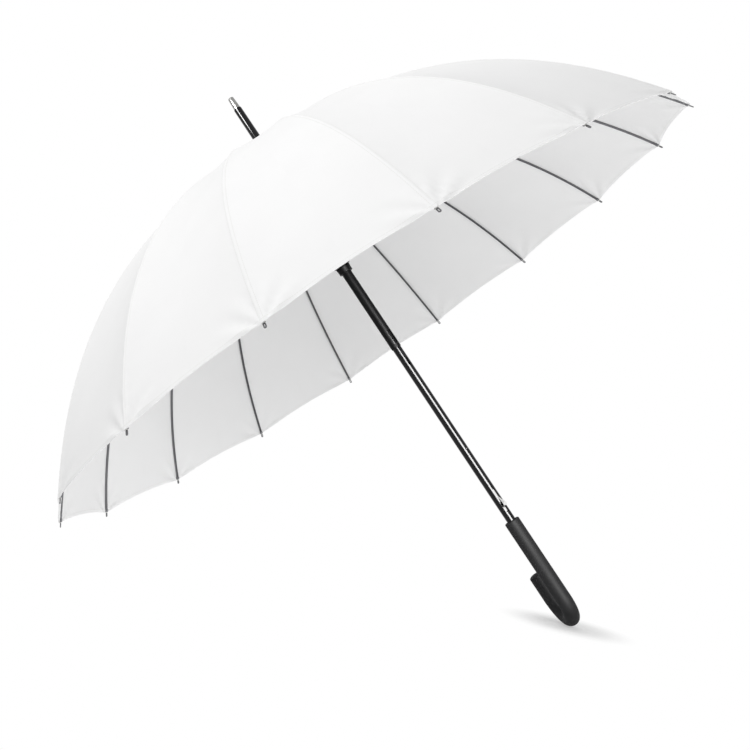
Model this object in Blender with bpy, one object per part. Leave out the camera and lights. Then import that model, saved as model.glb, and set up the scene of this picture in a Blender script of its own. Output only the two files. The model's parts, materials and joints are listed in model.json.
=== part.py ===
"""Manual stick umbrella with sixteen ribs and a crook handle, modelled open.

The shaft stands along +Z with the ferrule on top. The origin is on the shaft's axis, in the middle of
the hand's grip. The crook bends towards +Y, and one rib lies along +X. All sizes are in metres.
"""

import math

import bmesh
import bpy
from mathutils import Matrix, Vector

for old in list(bpy.data.objects):
    bpy.data.objects.remove(old, do_unlink=True)

# Fits
CLEARANCE = 0.0003
PIVOT_PLAY = 0.0003

# Shaft: a steel tube from inside the handle to just above the canopy
SHAFT_RADIUS = 0.0065
SHAFT_WALL = 0.0008
SHAFT_IN_HANDLE = 0.105
SHAFT_ABOVE_WASHER = 0.004

# Heights along the shaft, from the middle of the grip
HANDLE_TOP_Z = 0.065
HAND_SPRING_FOOT_Z = 0.184
HAND_SPRING_NOSE_Z = 0.0905
RUNNER_PIVOT_Z = 0.4988
RIB_HINGE_Z = 0.700
RIM_Z = 0.3966
FERRULE_TOP_Z = 0.7948

# Ribs: folded steel channel, bowed by the canopy
RIB_COUNT = 16
RIM_RADIUS = 0.5172
HINGE_RADIUS = 0.0092
RIB_BOW = 0.0740
RIB_STATIONS = 8
RIB_WIDTH = 0.0030
RIB_DEPTH = 0.0026
RIB_SHEET = 0.0005
CHANNEL_START = 0.0065
TANG_LENGTH = 0.0140
TANG_THICKNESS = 0.0012
EYE_RADIUS = 0.00135
WIRE_RADIUS = 0.00045

# Bracket under the rib that carries the stretcher's rivet
BRACKET_DISTANCE = 0.235
BRACKET_DROP = 0.0050
BRACKET_LENGTH = 0.0060
BRACKET_NOSE_RADIUS = 0.0016
RIVET_RADIUS = 0.0005
RIVET_OVERHANG = 0.0004

# Stretchers
STRETCHER_WIDTH = 0.0030
STRETCHER_DEPTH = 0.0026
STRETCHER_SHEET = 0.0004
FORK_DEPTH = 0.0045
FORK_END = 0.0016

# Rib tips: a sleeve on the rib's end and a flat eye for the thread that ties the cloth
TIP_LENGTH = 0.0120
TIP_WALL = 0.0004
TIP_SOCKET_DEPTH = 0.0050
TIP_PLATE = 0.0010
TIP_NECK_WIDTH = 0.0020
TIP_EYE_RADIUS = 0.0017
TIP_HOLE_RADIUS = 0.0008
CLOSED_TIP_GAP = 0.0106

# Toothed rings of the top notch and the runner
RING_SLOT_FLOOR = 0.0075
RING_OUTER_RADIUS = 0.0106
NOTCH_HEIGHT = 0.0052
FLANGE_HEIGHT = 0.0080

# Runner
SLEEVE_RADIUS = 0.0074
SLEEVE_LENGTH = 0.1414
COLLAR_RADIUS = 0.0098
COLLAR_HEIGHT = 0.0070
RUNNER_HEAD = 0.0015
WINDOW_MARGIN = 0.0010

# Canopy
CLOTH_THICKNESS = 0.0003
CLOTH_OFF_RIB = 0.0013
GORE_COLUMNS = 4
CLOTH_OFF_NOTCH = 0.0012
GORE_SAG = 0.004
RIM_SCALLOP = 0.0055
CLOTH_SHORT_OF_END = 0.0065

# Washer and ferrule
WASHER_RADIUS = 0.0125
WASHER_THICKNESS = 0.0008
FERRULE_RADIUS = 0.0064
FERRULE_TOP_RADIUS = 0.0058
FERRULE_PLUG_LENGTH = 0.015
FERRULE_STUB_RADIUS = 0.0028
FERRULE_STUB_LENGTH = 0.012
FERRULE_CAP_LENGTH = 0.0186
FERRULE_CAP_RADIUS = 0.0049
FERRULE_CAP_TOP_RADIUS = 0.0042
FERRULE_CAP_EDGE = 0.00105

# Leaf springs in the shaft, seen as a nose that stands out of a slot
SPRING_AZIMUTH = math.radians(-70)
SPRING_WIDTH = 0.0030
SPRING_SHEET = 0.0005
SPRING_DEPTH_IN_TUBE = 0.0007
SPRING_FOOT_HEIGHT = 0.0016
HAND_NOSE_REACH = 0.0031
HAND_NOSE_RAMP = 0.0215
TOP_NOSE_REACH = 0.0023
TOP_NOSE_RAMP = 0.0180
TOP_SPRING_LENGTH = 0.0640
NOSE_FLAT = 0.0015
SPRING_TAIL = 0.0070
SLOT_END_PLAY = 0.0030

# Pin that stops the runner at the top of its way
STOP_PIN_RADIUS = 0.0010
STOP_PIN_OVERHANG = 0.0008

# Crook handle
HANDLE_RADIUS = 0.01125
HANDLE_STRAIGHT = 0.1303
CROOK_RADIUS = 0.034
HOOK_LENGTH = 0.036
HANDLE_EDGE = 0.0020
HANDLE_EDGE_MIDDLE = 0.0006
END_CAP_HEIGHT = 0.0045
END_CAP_DOME = [(0.97, 0.35), (0.80, 0.75), (0.45, 1.0)]
END_CAP_STEM_RADIUS = 0.0045
END_CAP_STEM_LENGTH = 0.010

# Facets round a full turn
ROUND_SIDES = 24
SMALL_SIDES = 6
WIRE_SIDES = 4
EYE_STEPS = 5
CROOK_STEPS = 14

GORE_ANGLE = 2 * math.pi / RIB_COUNT
TUBE_BORE = SHAFT_RADIUS - SHAFT_WALL
SLIDE_RADIUS = SHAFT_RADIUS + CLEARANCE
EYE_HOLE_RADIUS = WIRE_RADIUS + PIVOT_PLAY
SLOT_WIDTH = TANG_THICKNESS + 2 * CLEARANCE


def material(name, colour, roughness, metallic=0.0):
    """A plain Principled material."""
    made = bpy.data.materials.new(name)
    made.use_nodes = True
    shader = made.node_tree.nodes["Principled BSDF"]
    shader.inputs["Base Color"].default_value = (*colour, 1.0)
    shader.inputs["Roughness"].default_value = roughness
    shader.inputs["Metallic"].default_value = metallic
    return made


def face_out(bm):
    """Makes all faces of a closed bmesh look outwards."""
    bmesh.ops.recalc_face_normals(bm, faces=bm.faces)
    if bm.calc_volume(signed=True) < 0:
        bmesh.ops.reverse_faces(bm, faces=bm.faces)


def add_part(name, bm, look, origin=(0.0, 0.0, 0.0), sharp_degrees=40.0):
    """Turns a closed bmesh into a named object whose own origin is at the given point."""
    face_out(bm)
    for face in bm.faces:
        face.smooth = True
    for edge in bm.edges:
        edge.smooth = len(edge.link_faces) == 2 and edge.calc_face_angle() < math.radians(sharp_degrees)
    bmesh.ops.translate(bm, verts=bm.verts, vec=-Vector(origin))
    mesh = bpy.data.meshes.new(name)
    bm.to_mesh(mesh)
    bm.free()
    mesh.materials.append(look)
    made = bpy.data.objects.new(name, mesh)
    made.location = origin
    bpy.context.collection.objects.link(made)
    return made


def loft(rings, closed=False):
    """Skins a list of rings that have equal numbers of points. Open ends are capped."""
    bm = bmesh.new()
    rows = [[bm.verts.new(point) for point in ring] for ring in rings]
    count = len(rows[0])
    pairs = list(zip(rows, rows[1:]))
    if closed:
        pairs.append((rows[-1], rows[0]))
    for low, high in pairs:
        for k in range(count):
            nxt = (k + 1) % count
            bm.faces.new((low[k], low[nxt], high[nxt], high[k]))
    if not closed:
        bm.faces.new(rows[0][::-1])
        bm.faces.new(rows[-1])
    return bm


def circle(radius, z, sides):
    """Points of a level circle about the Z axis."""
    turn = 2 * math.pi / sides
    return [Vector((radius * math.cos(k * turn), radius * math.sin(k * turn), z)) for k in range(sides)]


def lathe(profile, sides=ROUND_SIDES, closed=False):
    """Turns (radius, height) pairs about the Z axis."""
    return loft([circle(radius, z, sides) for radius, z in profile], closed)


def prism(outline, width):
    """Extrudes an outline in the XZ plane to a plate of the given width, centred on Y = 0."""
    return loft([[Vector((x, side * width / 2, z)) for x, z in outline] for side in (-1, 1)])


def pin(radius, length, centre, sides=SMALL_SIDES):
    """A cylinder along Y."""
    bm = lathe([(radius, -length / 2), (radius, length / 2)], sides)
    bm.transform(Matrix.Translation(Vector(centre)) @ Matrix.Rotation(math.radians(90), 4, "X"))
    return bm


def box(low, high):
    """A block between two corners."""
    outline = [(low[0], low[2]), (high[0], low[2]), (high[0], high[2]), (low[0], high[2])]
    bm = prism(outline, high[1] - low[1])
    bmesh.ops.translate(bm, verts=bm.verts, vec=(0.0, (low[1] + high[1]) / 2, 0.0))
    return bm


def combine(base, tool, operation):
    """Boolean of two closed bmeshes, as a new bmesh."""
    pair = []
    for name, bm in (("base", base), ("tool", tool)):
        face_out(bm)
        mesh = bpy.data.meshes.new(name)
        bm.to_mesh(mesh)
        bm.free()
        made = bpy.data.objects.new(name, mesh)
        bpy.context.collection.objects.link(made)
        pair.append(made)
    cut = pair[0].modifiers.new("cut", "BOOLEAN")
    cut.operation = operation
    cut.solver = "EXACT"
    cut.object = pair[1]
    graph = bpy.context.evaluated_depsgraph_get()
    result = bmesh.new()
    result.from_mesh(pair[0].evaluated_get(graph).to_mesh())
    for made in pair:
        mesh = made.data
        bpy.data.objects.remove(made, do_unlink=True)
        bpy.data.meshes.remove(mesh)
    bmesh.ops.remove_doubles(result, verts=result.verts, dist=1e-6)
    return result


def turned(bm, angle):
    """The same bmesh turned about the Z axis."""
    bm.transform(Matrix.Rotation(angle, 4, "Z"))
    return bm


def arc(centre, radius, start_degrees, end_degrees, steps):
    """Points of an arc in the XZ plane."""
    points = []
    for k in range(steps + 1):
        a = math.radians(start_degrees + (end_degrees - start_degrees) * k / steps)
        points.append((centre[0] + radius * math.cos(a), centre[1] + radius * math.sin(a)))
    return points


# Rib line in the plane of one rib: x is the distance from the shaft's axis
HINGE = Vector((HINGE_RADIUS, RIB_HINGE_Z))
RIB_END = Vector((RIM_RADIUS, RIM_Z))


def rib_curve(share):
    """Smooth rib line: a parabola that bows up from the chord between hinge and rim."""
    chord = RIB_END - HINGE
    up = Vector((-chord.y, chord.x)).normalized()
    return HINGE + chord * share + up * (4 * RIB_BOW * share * (1 - share))


STATIONS = [rib_curve(k / RIB_STATIONS) for k in range(RIB_STATIONS + 1)]


def along_rib(distance):
    """Point and direction on the rib's line at a distance from its hinge."""
    for low, high in zip(STATIONS, STATIONS[1:]):
        step = (high - low).length
        if distance <= step or high is STATIONS[-1]:
            heading = (high - low).normalized()
            return low + heading * distance, heading
        distance -= step


RIB_LENGTH = sum((b - a).length for a, b in zip(STATIONS, STATIONS[1:]))


def rib_line(start, end):
    """Points of the rib between two distances, each with its upward normal."""
    line = []
    first, heading = along_rib(start)
    line.append((first, Vector((-heading.y, heading.x))))
    passed = 0.0
    for k in range(1, RIB_STATIONS):
        passed += (STATIONS[k] - STATIONS[k - 1]).length
        if start < passed < end:
            before = (STATIONS[k] - STATIONS[k - 1]).normalized()
            after = (STATIONS[k + 1] - STATIONS[k]).normalized()
            heading = before + after
            line.append((STATIONS[k], Vector((-heading.y, heading.x)).normalized()))
    last, heading = along_rib(end)
    line.append((last, Vector((-heading.y, heading.x))))
    return line


def channel_section(width, depth, sheet):
    """Corners of a channel that opens downwards, as (sideways, up)."""
    w, d = width / 2, depth / 2
    outside = [(-w, -d), (-w, d), (w, d), (w, -d)]
    inside = [(w - sheet, -d), (w - sheet, d - sheet), (-w + sheet, d - sheet), (-w + sheet, -d)]
    return outside + inside


def channel(line, section):
    """Sweeps a channel section along a line of (point, normal) in the XZ plane."""
    rings = []
    for point, normal in line:
        rings.append([(point.x + normal.x * up, side, point.y + normal.y * up) for side, up in section])
    return loft(rings)


def placed(bm, origin, heading):
    """Moves a bmesh drawn along +X to a point, and turns it to a heading in the XZ plane."""
    angle = math.atan2(heading.y, heading.x)
    bm.transform(Matrix.Translation((origin.x, 0.0, origin.y)) @ Matrix.Rotation(-angle, 4, "Y"))
    return bm


def eye_plate(up, down):
    """Flat tang with a round end about the origin, running along +X."""
    outline = arc((0.0, 0.0), EYE_RADIUS, 90, 270, EYE_STEPS)
    outline += [(3 * EYE_RADIUS, down), (TANG_LENGTH, down), (TANG_LENGTH, up)]
    return prism(outline, TANG_THICKNESS)


BRACKET_FOOT, BRACKET_HEADING = along_rib(BRACKET_DISTANCE)
BRACKET_UP = Vector((-BRACKET_HEADING.y, BRACKET_HEADING.x))
RIVET = BRACKET_FOOT - BRACKET_UP * BRACKET_DROP
RUNNER_PIVOT = Vector((HINGE_RADIUS, RUNNER_PIVOT_Z))
STRETCHER_LENGTH = (RUNNER_PIVOT - RIVET).length
RIB_STEEL_END = RIB_LENGTH - TIP_LENGTH + TIP_SOCKET_DEPTH - CLEARANCE


def rib_body():
    """One rib: channel, eye, bracket and rivet, in the XZ plane."""
    body = channel(rib_line(CHANNEL_START, RIB_STEEL_END), channel_section(RIB_WIDTH, RIB_DEPTH, RIB_SHEET))
    web_middle = (RIB_DEPTH - RIB_SHEET) / 2
    heading = (STATIONS[1] - STATIONS[0]).normalized()
    body = combine(body, placed(eye_plate(web_middle, -web_middle / 2), HINGE, heading), "UNION")
    body = combine(body, pin(EYE_HOLE_RADIUS, RIB_WIDTH, (HINGE.x, 0.0, HINGE.y)), "DIFFERENCE")
    half = BRACKET_LENGTH / 2
    outline = [(half, web_middle), (-half, web_middle)]
    outline += arc((0.0, -BRACKET_DROP), BRACKET_NOSE_RADIUS, 180, 360, EYE_STEPS)
    body = combine(body, placed(prism(outline, TANG_THICKNESS), BRACKET_FOOT, BRACKET_HEADING), "UNION")
    rivet_length = STRETCHER_WIDTH + 2 * RIVET_OVERHANG
    return combine(body, pin(RIVET_RADIUS, rivet_length, (RIVET.x, 0.0, RIVET.y)), "UNION")


def stretcher_body():
    """One stretcher: channel that opens upwards, fork on the rivet and eye at the runner."""
    section = channel_section(STRETCHER_WIDTH, STRETCHER_DEPTH, STRETCHER_SHEET)
    section = [(side, -up) for side, up in section]
    up = Vector((0.0, 1.0))
    ends = (-FORK_END, STRETCHER_LENGTH - CHANNEL_START)
    body = channel([(Vector((x, 0.0)), up) for x in ends], section)
    web_middle = (STRETCHER_DEPTH - STRETCHER_SHEET) / 2
    tang = eye_plate(web_middle / 2, -web_middle)
    tang.transform(Matrix.Scale(-1, 4, Vector((1, 0, 0))))
    bmesh.ops.translate(tang, verts=tang.verts, vec=(STRETCHER_LENGTH, 0.0, 0.0))
    body = combine(body, tang, "UNION")
    body = combine(body, pin(EYE_HOLE_RADIUS, STRETCHER_WIDTH, (STRETCHER_LENGTH, 0.0, 0.0)), "DIFFERENCE")
    throat = TANG_THICKNESS / 2 + CLEARANCE
    floor = box((-2 * FORK_END, -throat, -STRETCHER_DEPTH), (FORK_DEPTH, throat, STRETCHER_DEPTH))
    body = combine(body, floor, "DIFFERENCE")
    hole = pin(RIVET_RADIUS + PIVOT_PLAY, 2 * STRETCHER_WIDTH, (0.0, 0.0, 0.0))
    body = combine(body, hole, "DIFFERENCE")
    return placed(body, RIVET, (RUNNER_PIVOT - RIVET).normalized())


def tip_body():
    """One rib tip: sleeve over the rib's end and a flat eye beyond it."""
    width = RIB_WIDTH / 2 + CLEARANCE
    depth = RIB_DEPTH / 2 + CLEARANCE
    end = TIP_SOCKET_DEPTH + TIP_WALL
    sleeve = box((0.0, -width - TIP_WALL, -depth - TIP_WALL), (end, width + TIP_WALL, depth + TIP_WALL))
    pocket = box((-TIP_WALL, -width, -depth), (TIP_SOCKET_DEPTH, width, depth))
    sleeve = combine(sleeve, pocket, "DIFFERENCE")
    eye = TIP_LENGTH - TIP_EYE_RADIUS
    root = end - TIP_WALL / 2
    neck = TIP_NECK_WIDTH / 2
    turn = 180 - math.degrees(math.asin(neck / TIP_EYE_RADIUS))
    outline = [(root, -neck)] + arc((eye, 0.0), TIP_EYE_RADIUS, -turn, turn, 2 * EYE_STEPS) + [(root, neck)]
    hole = pin(TIP_HOLE_RADIUS, 2 * TIP_PLATE, (eye, 0.0, 0.0))
    plate = combine(prism(outline, TIP_PLATE), hole, "DIFFERENCE")
    plate.transform(Matrix.Rotation(math.radians(90), 4, "X"))
    start, heading = along_rib(RIB_LENGTH - TIP_LENGTH)
    return placed(combine(sleeve, plate, "UNION"), start, heading)


def toothed_ring(bore, low, high):
    """Ring with a radial slot for each rib, and the wire that runs through all the slots."""
    half = SLOT_WIDTH / 2
    at_floor = math.asin(half / RING_SLOT_FLOOR)
    at_rim = math.asin(half / RING_OUTER_RADIUS)
    spread = (GORE_ANGLE - 2 * at_floor) / 3
    outline = []
    inside = []
    for k in range(RIB_COUNT):
        middle = k * GORE_ANGLE
        following = middle + GORE_ANGLE
        outline += [(RING_SLOT_FLOOR, middle - at_floor), (RING_SLOT_FLOOR, middle + at_floor)]
        outline += [(RING_OUTER_RADIUS, middle + at_rim), (RING_OUTER_RADIUS, following - at_rim)]
        inside += [middle - at_floor, middle + at_floor]
        inside += [middle + at_floor + spread, following - at_floor - spread]
    rings = []
    for z in (low, high):
        rings.append([(r * math.cos(a), r * math.sin(a), z) for r, a in outline])
    for z in (high, low):
        rings.append([(bore * math.cos(a), bore * math.sin(a), z) for a in inside])
    ring = loft(rings, closed=True)
    sides = 2 * RIB_COUNT
    middle = (low + high) / 2
    turn = 2 * math.pi / WIRE_SIDES
    angles = [k * turn for k in range(WIRE_SIDES)]
    section = [(HINGE_RADIUS + WIRE_RADIUS * math.cos(a), middle + WIRE_RADIUS * math.sin(a)) for a in angles]
    wire = turned(lathe(section, sides, closed=True), GORE_ANGLE / 4)
    return combine(ring, wire, "UNION")


def spring_body(foot_z, nose_z, reach, ramp, steep_side):
    """Leaf spring drawn in the XZ plane: foot in the tube's wall, strip, and a nose out of the slot.

    steep_side is -1 where the nose's steep face looks down, and 1 where it looks up.
    """
    face = TUBE_BORE - SPRING_DEPTH_IN_TUBE
    back = face - SPRING_SHEET
    nose = SHAFT_RADIUS + reach
    half = SPRING_FOOT_HEIGHT / 2
    upper, lower = (ramp, NOSE_FLAT) if steep_side < 0 else (NOSE_FLAT, ramp)
    tail = nose_z - lower - SPRING_TAIL
    outline = [(back, foot_z + half), (SHAFT_RADIUS, foot_z + half)]
    outline += [(SHAFT_RADIUS, foot_z - half), (face, foot_z - half)]
    outline += [(face, nose_z + upper), (nose, nose_z + NOSE_FLAT / 2), (nose, nose_z - NOSE_FLAT / 2)]
    outline += [(face, nose_z - lower), (face, tail), (back, tail)]
    return turned(prism(outline, SPRING_WIDTH), SPRING_AZIMUTH), nose_z + upper, tail


WHITE_CLOTH = material("white_cloth", (0.88, 0.88, 0.87), 0.75)
BLACK_TUBE = material("black_tube", (0.012, 0.012, 0.014), 0.18, 0.3)
BLACK_PLASTIC = material("black_plastic", (0.018, 0.018, 0.02), 0.35)
GRIP_RUBBER = material("grip_rubber", (0.035, 0.035, 0.038), 0.55)
RIB_STEEL = material("rib_steel", (0.16, 0.16, 0.17), 0.4, 0.8)
BRIGHT_STEEL = material("bright_steel", (0.75, 0.75, 0.76), 0.2, 1.0)

# Levels that follow from the driving sizes
RUNNER_LOW_Z = RUNNER_PIVOT_Z - SLEEVE_LENGTH
RUNNER_TOP_Z = RUNNER_PIVOT_Z + FLANGE_HEIGHT / 2 + RUNNER_HEAD
NOTCH_TOP_Z = RIB_HINGE_Z + NOTCH_HEIGHT / 2
CLOTH_LOW_Z = NOTCH_TOP_Z + CLOTH_OFF_NOTCH
WASHER_LOW_Z = CLOTH_LOW_Z + CLOTH_THICKNESS + CLEARANCE
SHAFT_TOP_Z = WASHER_LOW_Z + WASHER_THICKNESS + SHAFT_ABOVE_WASHER
STOP_PIN_Z = RUNNER_TOP_Z + CLEARANCE + STOP_PIN_RADIUS

# Springs
hand_spring, hand_slot_top, hand_slot_low = spring_body(
    HAND_SPRING_FOOT_Z, HAND_SPRING_NOSE_Z, HAND_NOSE_REACH, HAND_NOSE_RAMP, -1
)
TOP_NOSE_Z = RUNNER_LOW_Z - CLEARANCE - NOSE_FLAT
TOP_SPRING_FOOT_Z = TOP_NOSE_Z + TOP_SPRING_LENGTH
top_spring, top_slot_top, top_slot_low = spring_body(
    TOP_SPRING_FOOT_Z, TOP_NOSE_Z, TOP_NOSE_REACH, TOP_NOSE_RAMP, 1
)
FOOT_RADIUS = TUBE_BORE - SPRING_DEPTH_IN_TUBE
FOOT_X = FOOT_RADIUS * math.cos(SPRING_AZIMUTH)
FOOT_Y = FOOT_RADIUS * math.sin(SPRING_AZIMUTH)
add_part("hand_spring", hand_spring, BRIGHT_STEEL, (FOOT_X, FOOT_Y, HAND_SPRING_FOOT_Z))
add_part("top_spring", top_spring, BRIGHT_STEEL, (FOOT_X, FOOT_Y, TOP_SPRING_FOOT_Z))

# Shaft tube with its slots and holes
SHAFT_LOW_Z = HANDLE_TOP_Z - SHAFT_IN_HANDLE
shaft = lathe(
    [
        (TUBE_BORE, SHAFT_LOW_Z),
        (SHAFT_RADIUS, SHAFT_LOW_Z),
        (SHAFT_RADIUS, SHAFT_TOP_Z),
        (TUBE_BORE, SHAFT_TOP_Z),
    ],
    closed=True,
)
slot_half = SPRING_WIDTH / 2 + CLEARANCE
foot_half = SPRING_FOOT_HEIGHT / 2 + CLEARANCE
for low, high in (
    (hand_slot_low - SLOT_END_PLAY, hand_slot_top + SLOT_END_PLAY),
    (top_slot_low - SLOT_END_PLAY, top_slot_top + SLOT_END_PLAY),
    (HAND_SPRING_FOOT_Z - foot_half, HAND_SPRING_FOOT_Z + foot_half),
    (TOP_SPRING_FOOT_Z - foot_half, TOP_SPRING_FOOT_Z + foot_half),
):
    cutter = box((TUBE_BORE / 2, -slot_half, low), (2 * SHAFT_RADIUS, slot_half, high))
    shaft = combine(shaft, turned(cutter, SPRING_AZIMUTH), "DIFFERENCE")
stop_hole = pin(STOP_PIN_RADIUS + CLEARANCE, 4 * SHAFT_RADIUS, (0.0, 0.0, STOP_PIN_Z))
shaft = combine(shaft, stop_hole, "DIFFERENCE")
add_part("shaft_tube", shaft, BLACK_TUBE)
stop_length = 2 * (SHAFT_RADIUS + STOP_PIN_OVERHANG)
add_part("stop_pin", pin(STOP_PIN_RADIUS, stop_length, (0.0, 0.0, STOP_PIN_Z)), BRIGHT_STEEL)

# Top notch under the canopy
notch = toothed_ring(SLIDE_RADIUS, RIB_HINGE_Z - NOTCH_HEIGHT / 2, NOTCH_TOP_Z)
add_part("top_notch", notch, BLACK_PLASTIC)

# Ribs, tips and stretchers, drawn once along +X and turned to their places
rib_proto = rib_body()
tip_proto = tip_body()
stretcher_proto = stretcher_body()
for index in range(RIB_COUNT):
    angle = index * GORE_ANGLE
    outward = Vector((math.cos(angle), math.sin(angle), 0.0))
    hinge_at = outward * HINGE.x + Vector((0, 0, HINGE.y))
    rivet_at = outward * RIVET.x + Vector((0, 0, RIVET.y))
    label = f"{index + 1:02d}"
    add_part(f"rib_{label}", turned(rib_proto.copy(), angle), RIB_STEEL, hinge_at)
    add_part(f"rib_tip_{label}", turned(tip_proto.copy(), angle), RIB_STEEL, hinge_at)
    add_part(f"stretcher_{label}", turned(stretcher_proto.copy(), angle), RIB_STEEL, rivet_at)

# Runner: sleeve, collar and toothed flange, with a window for the hand spring's nose
flange_low = RUNNER_PIVOT_Z - FLANGE_HEIGHT / 2
collar_low = flange_low - COLLAR_HEIGHT
edge = (COLLAR_RADIUS - SLEEVE_RADIUS) / 2
runner = lathe(
    [
        (SLIDE_RADIUS, RUNNER_LOW_Z),
        (SLEEVE_RADIUS, RUNNER_LOW_Z),
        (SLEEVE_RADIUS, collar_low - edge),
        (COLLAR_RADIUS - edge, collar_low - edge / 2),
        (COLLAR_RADIUS, collar_low + edge),
        (COLLAR_RADIUS, flange_low + edge),
        (SLEEVE_RADIUS, flange_low + edge),
        (SLEEVE_RADIUS, RUNNER_TOP_Z),
        (SLIDE_RADIUS, RUNNER_TOP_Z),
    ],
    closed=True,
)
ring_bore = (SLIDE_RADIUS + SLEEVE_RADIUS) / 2
runner = combine(runner, toothed_ring(ring_bore, flange_low, flange_low + FLANGE_HEIGHT), "UNION")


def closed_angle():
    """How far each rib turns until its end lies beside the sleeve."""
    reach = RIB_END - HINGE
    beside = SLEEVE_RADIUS + CLOSED_TIP_GAP
    return math.atan2(reach.x, -reach.y) - math.asin((beside - HINGE.x) / reach.length)


fold = closed_angle()
arm = RIVET - HINGE
closed_arm = math.atan2(arm.x, -arm.y) - fold
closed_rivet_x = arm.length * math.sin(closed_arm)
closed_rivet_z = HINGE.y - arm.length * math.cos(closed_arm)
closed_pivot_z = closed_rivet_z - math.sqrt(STRETCHER_LENGTH**2 - closed_rivet_x**2)
travel = RUNNER_PIVOT_Z - closed_pivot_z
slope = HAND_NOSE_RAMP / (SHAFT_RADIUS + HAND_NOSE_REACH - FOOT_RADIUS)
window_low = HAND_SPRING_NOSE_Z - NOSE_FLAT - WINDOW_MARGIN + travel
window_top = hand_slot_top - slope * (SLIDE_RADIUS - FOOT_RADIUS) + 2 * WINDOW_MARGIN + travel
window_half = SPRING_WIDTH / 2 + 2 * CLEARANCE
window = box((SLIDE_RADIUS / 2, -window_half, window_low), (2 * SLEEVE_RADIUS, window_half, window_top))
runner = combine(runner, turned(window, SPRING_AZIMUTH), "DIFFERENCE")
add_part("runner", runner, BLACK_PLASTIC, (0.0, 0.0, RUNNER_PIVOT_Z))
print(f"rib fold {math.degrees(fold):.4f} degrees, runner travel {travel:.6f} m")
stretcher_open = math.atan2(arm.x, RIVET.y - RUNNER_PIVOT_Z)
stretcher_closed = math.asin(closed_rivet_x / STRETCHER_LENGTH)
print(f"stretcher turn on its rib {math.degrees(stretcher_closed - stretcher_open - fold):.4f} degrees")

# Canopy: gores stretched from rib to rib, with a scalloped rim
CLOTH_HEIGHT = RIB_DEPTH / 2 + CLOTH_OFF_RIB
CLOTH_END = RIB_LENGTH - CLOTH_SHORT_OF_END


def cloth_rows():
    """Underside of the cloth over one rib, from the hole at the shaft to the rim."""
    rows = [Vector((SLIDE_RADIUS + CLEARANCE, CLOTH_LOW_Z))]
    rows += [point + normal * CLOTH_HEIGHT for point, normal in rib_line(0.0, CLOTH_END)[1:]]
    return rows


def canopy_body():
    """The whole canopy as one thin closed shell."""
    rows = cloth_rows()
    last = len(rows) - 1
    rings = []
    for k, row in enumerate(rows):
        ring = []
        share = k / last
        inward = (rows[k] - rows[max(k - 1, 0)]).normalized()
        for gore in range(RIB_COUNT):
            for column in range(GORE_COLUMNS):
                across = column / GORE_COLUMNS
                hollow = 4 * across * (1 - across)
                a, b = gore * GORE_ANGLE, (gore + 1) * GORE_ANGLE
                left = Vector((row.x * math.cos(a), row.x * math.sin(a), row.y))
                right = Vector((row.x * math.cos(b), row.x * math.sin(b), row.y))
                point = left.lerp(right, across)
                middle = (a + b) / 2
                out = Vector((math.cos(middle), math.sin(middle), 0.0))
                back = RIM_SCALLOP * hollow * share**3
                drop = GORE_SAG * hollow * math.sin(math.pi * share)
                along = out * inward.x + Vector((0, 0, inward.y))
                under = out * inward.y - Vector((0, 0, inward.x))
                ring.append(point - along * back + under * drop)
        rings.append(ring)
    return rings


def sheet_faces(bm, low, high):
    """Joins two rings of vertices by triangles that all split their cells the same way."""
    for k in range(len(low)):
        nxt = (k + 1) % len(low)
        bm.faces.new((low[k], high[k], high[nxt]))
        bm.faces.new((low[k], high[nxt], low[nxt]))


def thick_sheet(rings, thickness):
    """Gives a sheet of rings its thickness, outwards, and closes both of its edges."""
    bm = bmesh.new()
    under = [[bm.verts.new(point) for point in ring] for ring in rings]
    for low, high in zip(under, under[1:]):
        sheet_faces(bm, low, high)
    bm.normal_update()
    outward = math.copysign(thickness, sum(face.normal.z for face in bm.faces))
    upper_rings = [[vert.co + vert.normal * outward for vert in row] for row in under]
    over = [[bm.verts.new(point) for point in ring] for ring in upper_rings]
    for low, high in zip(over, over[1:]):
        sheet_faces(bm, low, high)
    for row in (0, -1):
        sheet_faces(bm, under[row], over[row])
    return bm


add_part("canopy", thick_sheet(canopy_body(), CLOTH_THICKNESS), WHITE_CLOTH, sharp_degrees=60.0)

# Washer that closes the canopy's hole
washer_top = WASHER_LOW_Z + WASHER_THICKNESS
washer = lathe(
    [
        (SLIDE_RADIUS, WASHER_LOW_Z),
        (WASHER_RADIUS, WASHER_LOW_Z),
        (WASHER_RADIUS, washer_top),
        (SLIDE_RADIUS, washer_top),
    ],
    closed=True,
)
add_part("crown_washer", washer, WHITE_CLOTH)

# Ferrule: plug in the tube, tapered body and a stub for the bright cap
ferrule_low = SHAFT_TOP_Z + CLEARANCE
ferrule_high = FERRULE_TOP_Z - FERRULE_CAP_LENGTH - CLEARANCE
plug_radius = TUBE_BORE - CLEARANCE
ferrule = lathe(
    [
        (plug_radius, SHAFT_TOP_Z - FERRULE_PLUG_LENGTH),
        (plug_radius, ferrule_low),
        (FERRULE_RADIUS, ferrule_low),
        (FERRULE_TOP_RADIUS, ferrule_high),
        (FERRULE_STUB_RADIUS, ferrule_high),
        (FERRULE_STUB_RADIUS, ferrule_high + FERRULE_STUB_LENGTH),
    ]
)
add_part("ferrule", ferrule, BLACK_PLASTIC)
cap_low = FERRULE_TOP_Z - FERRULE_CAP_LENGTH
cap_bore = FERRULE_STUB_RADIUS + CLEARANCE
ferrule_cap = lathe(
    [
        (cap_bore, ferrule_high + FERRULE_STUB_LENGTH + CLEARANCE),
        (cap_bore, cap_low),
        (FERRULE_CAP_RADIUS, cap_low),
        (FERRULE_CAP_TOP_RADIUS, FERRULE_TOP_Z - FERRULE_CAP_EDGE),
        (FERRULE_CAP_TOP_RADIUS - FERRULE_CAP_EDGE, FERRULE_TOP_Z),
    ]
)
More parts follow.
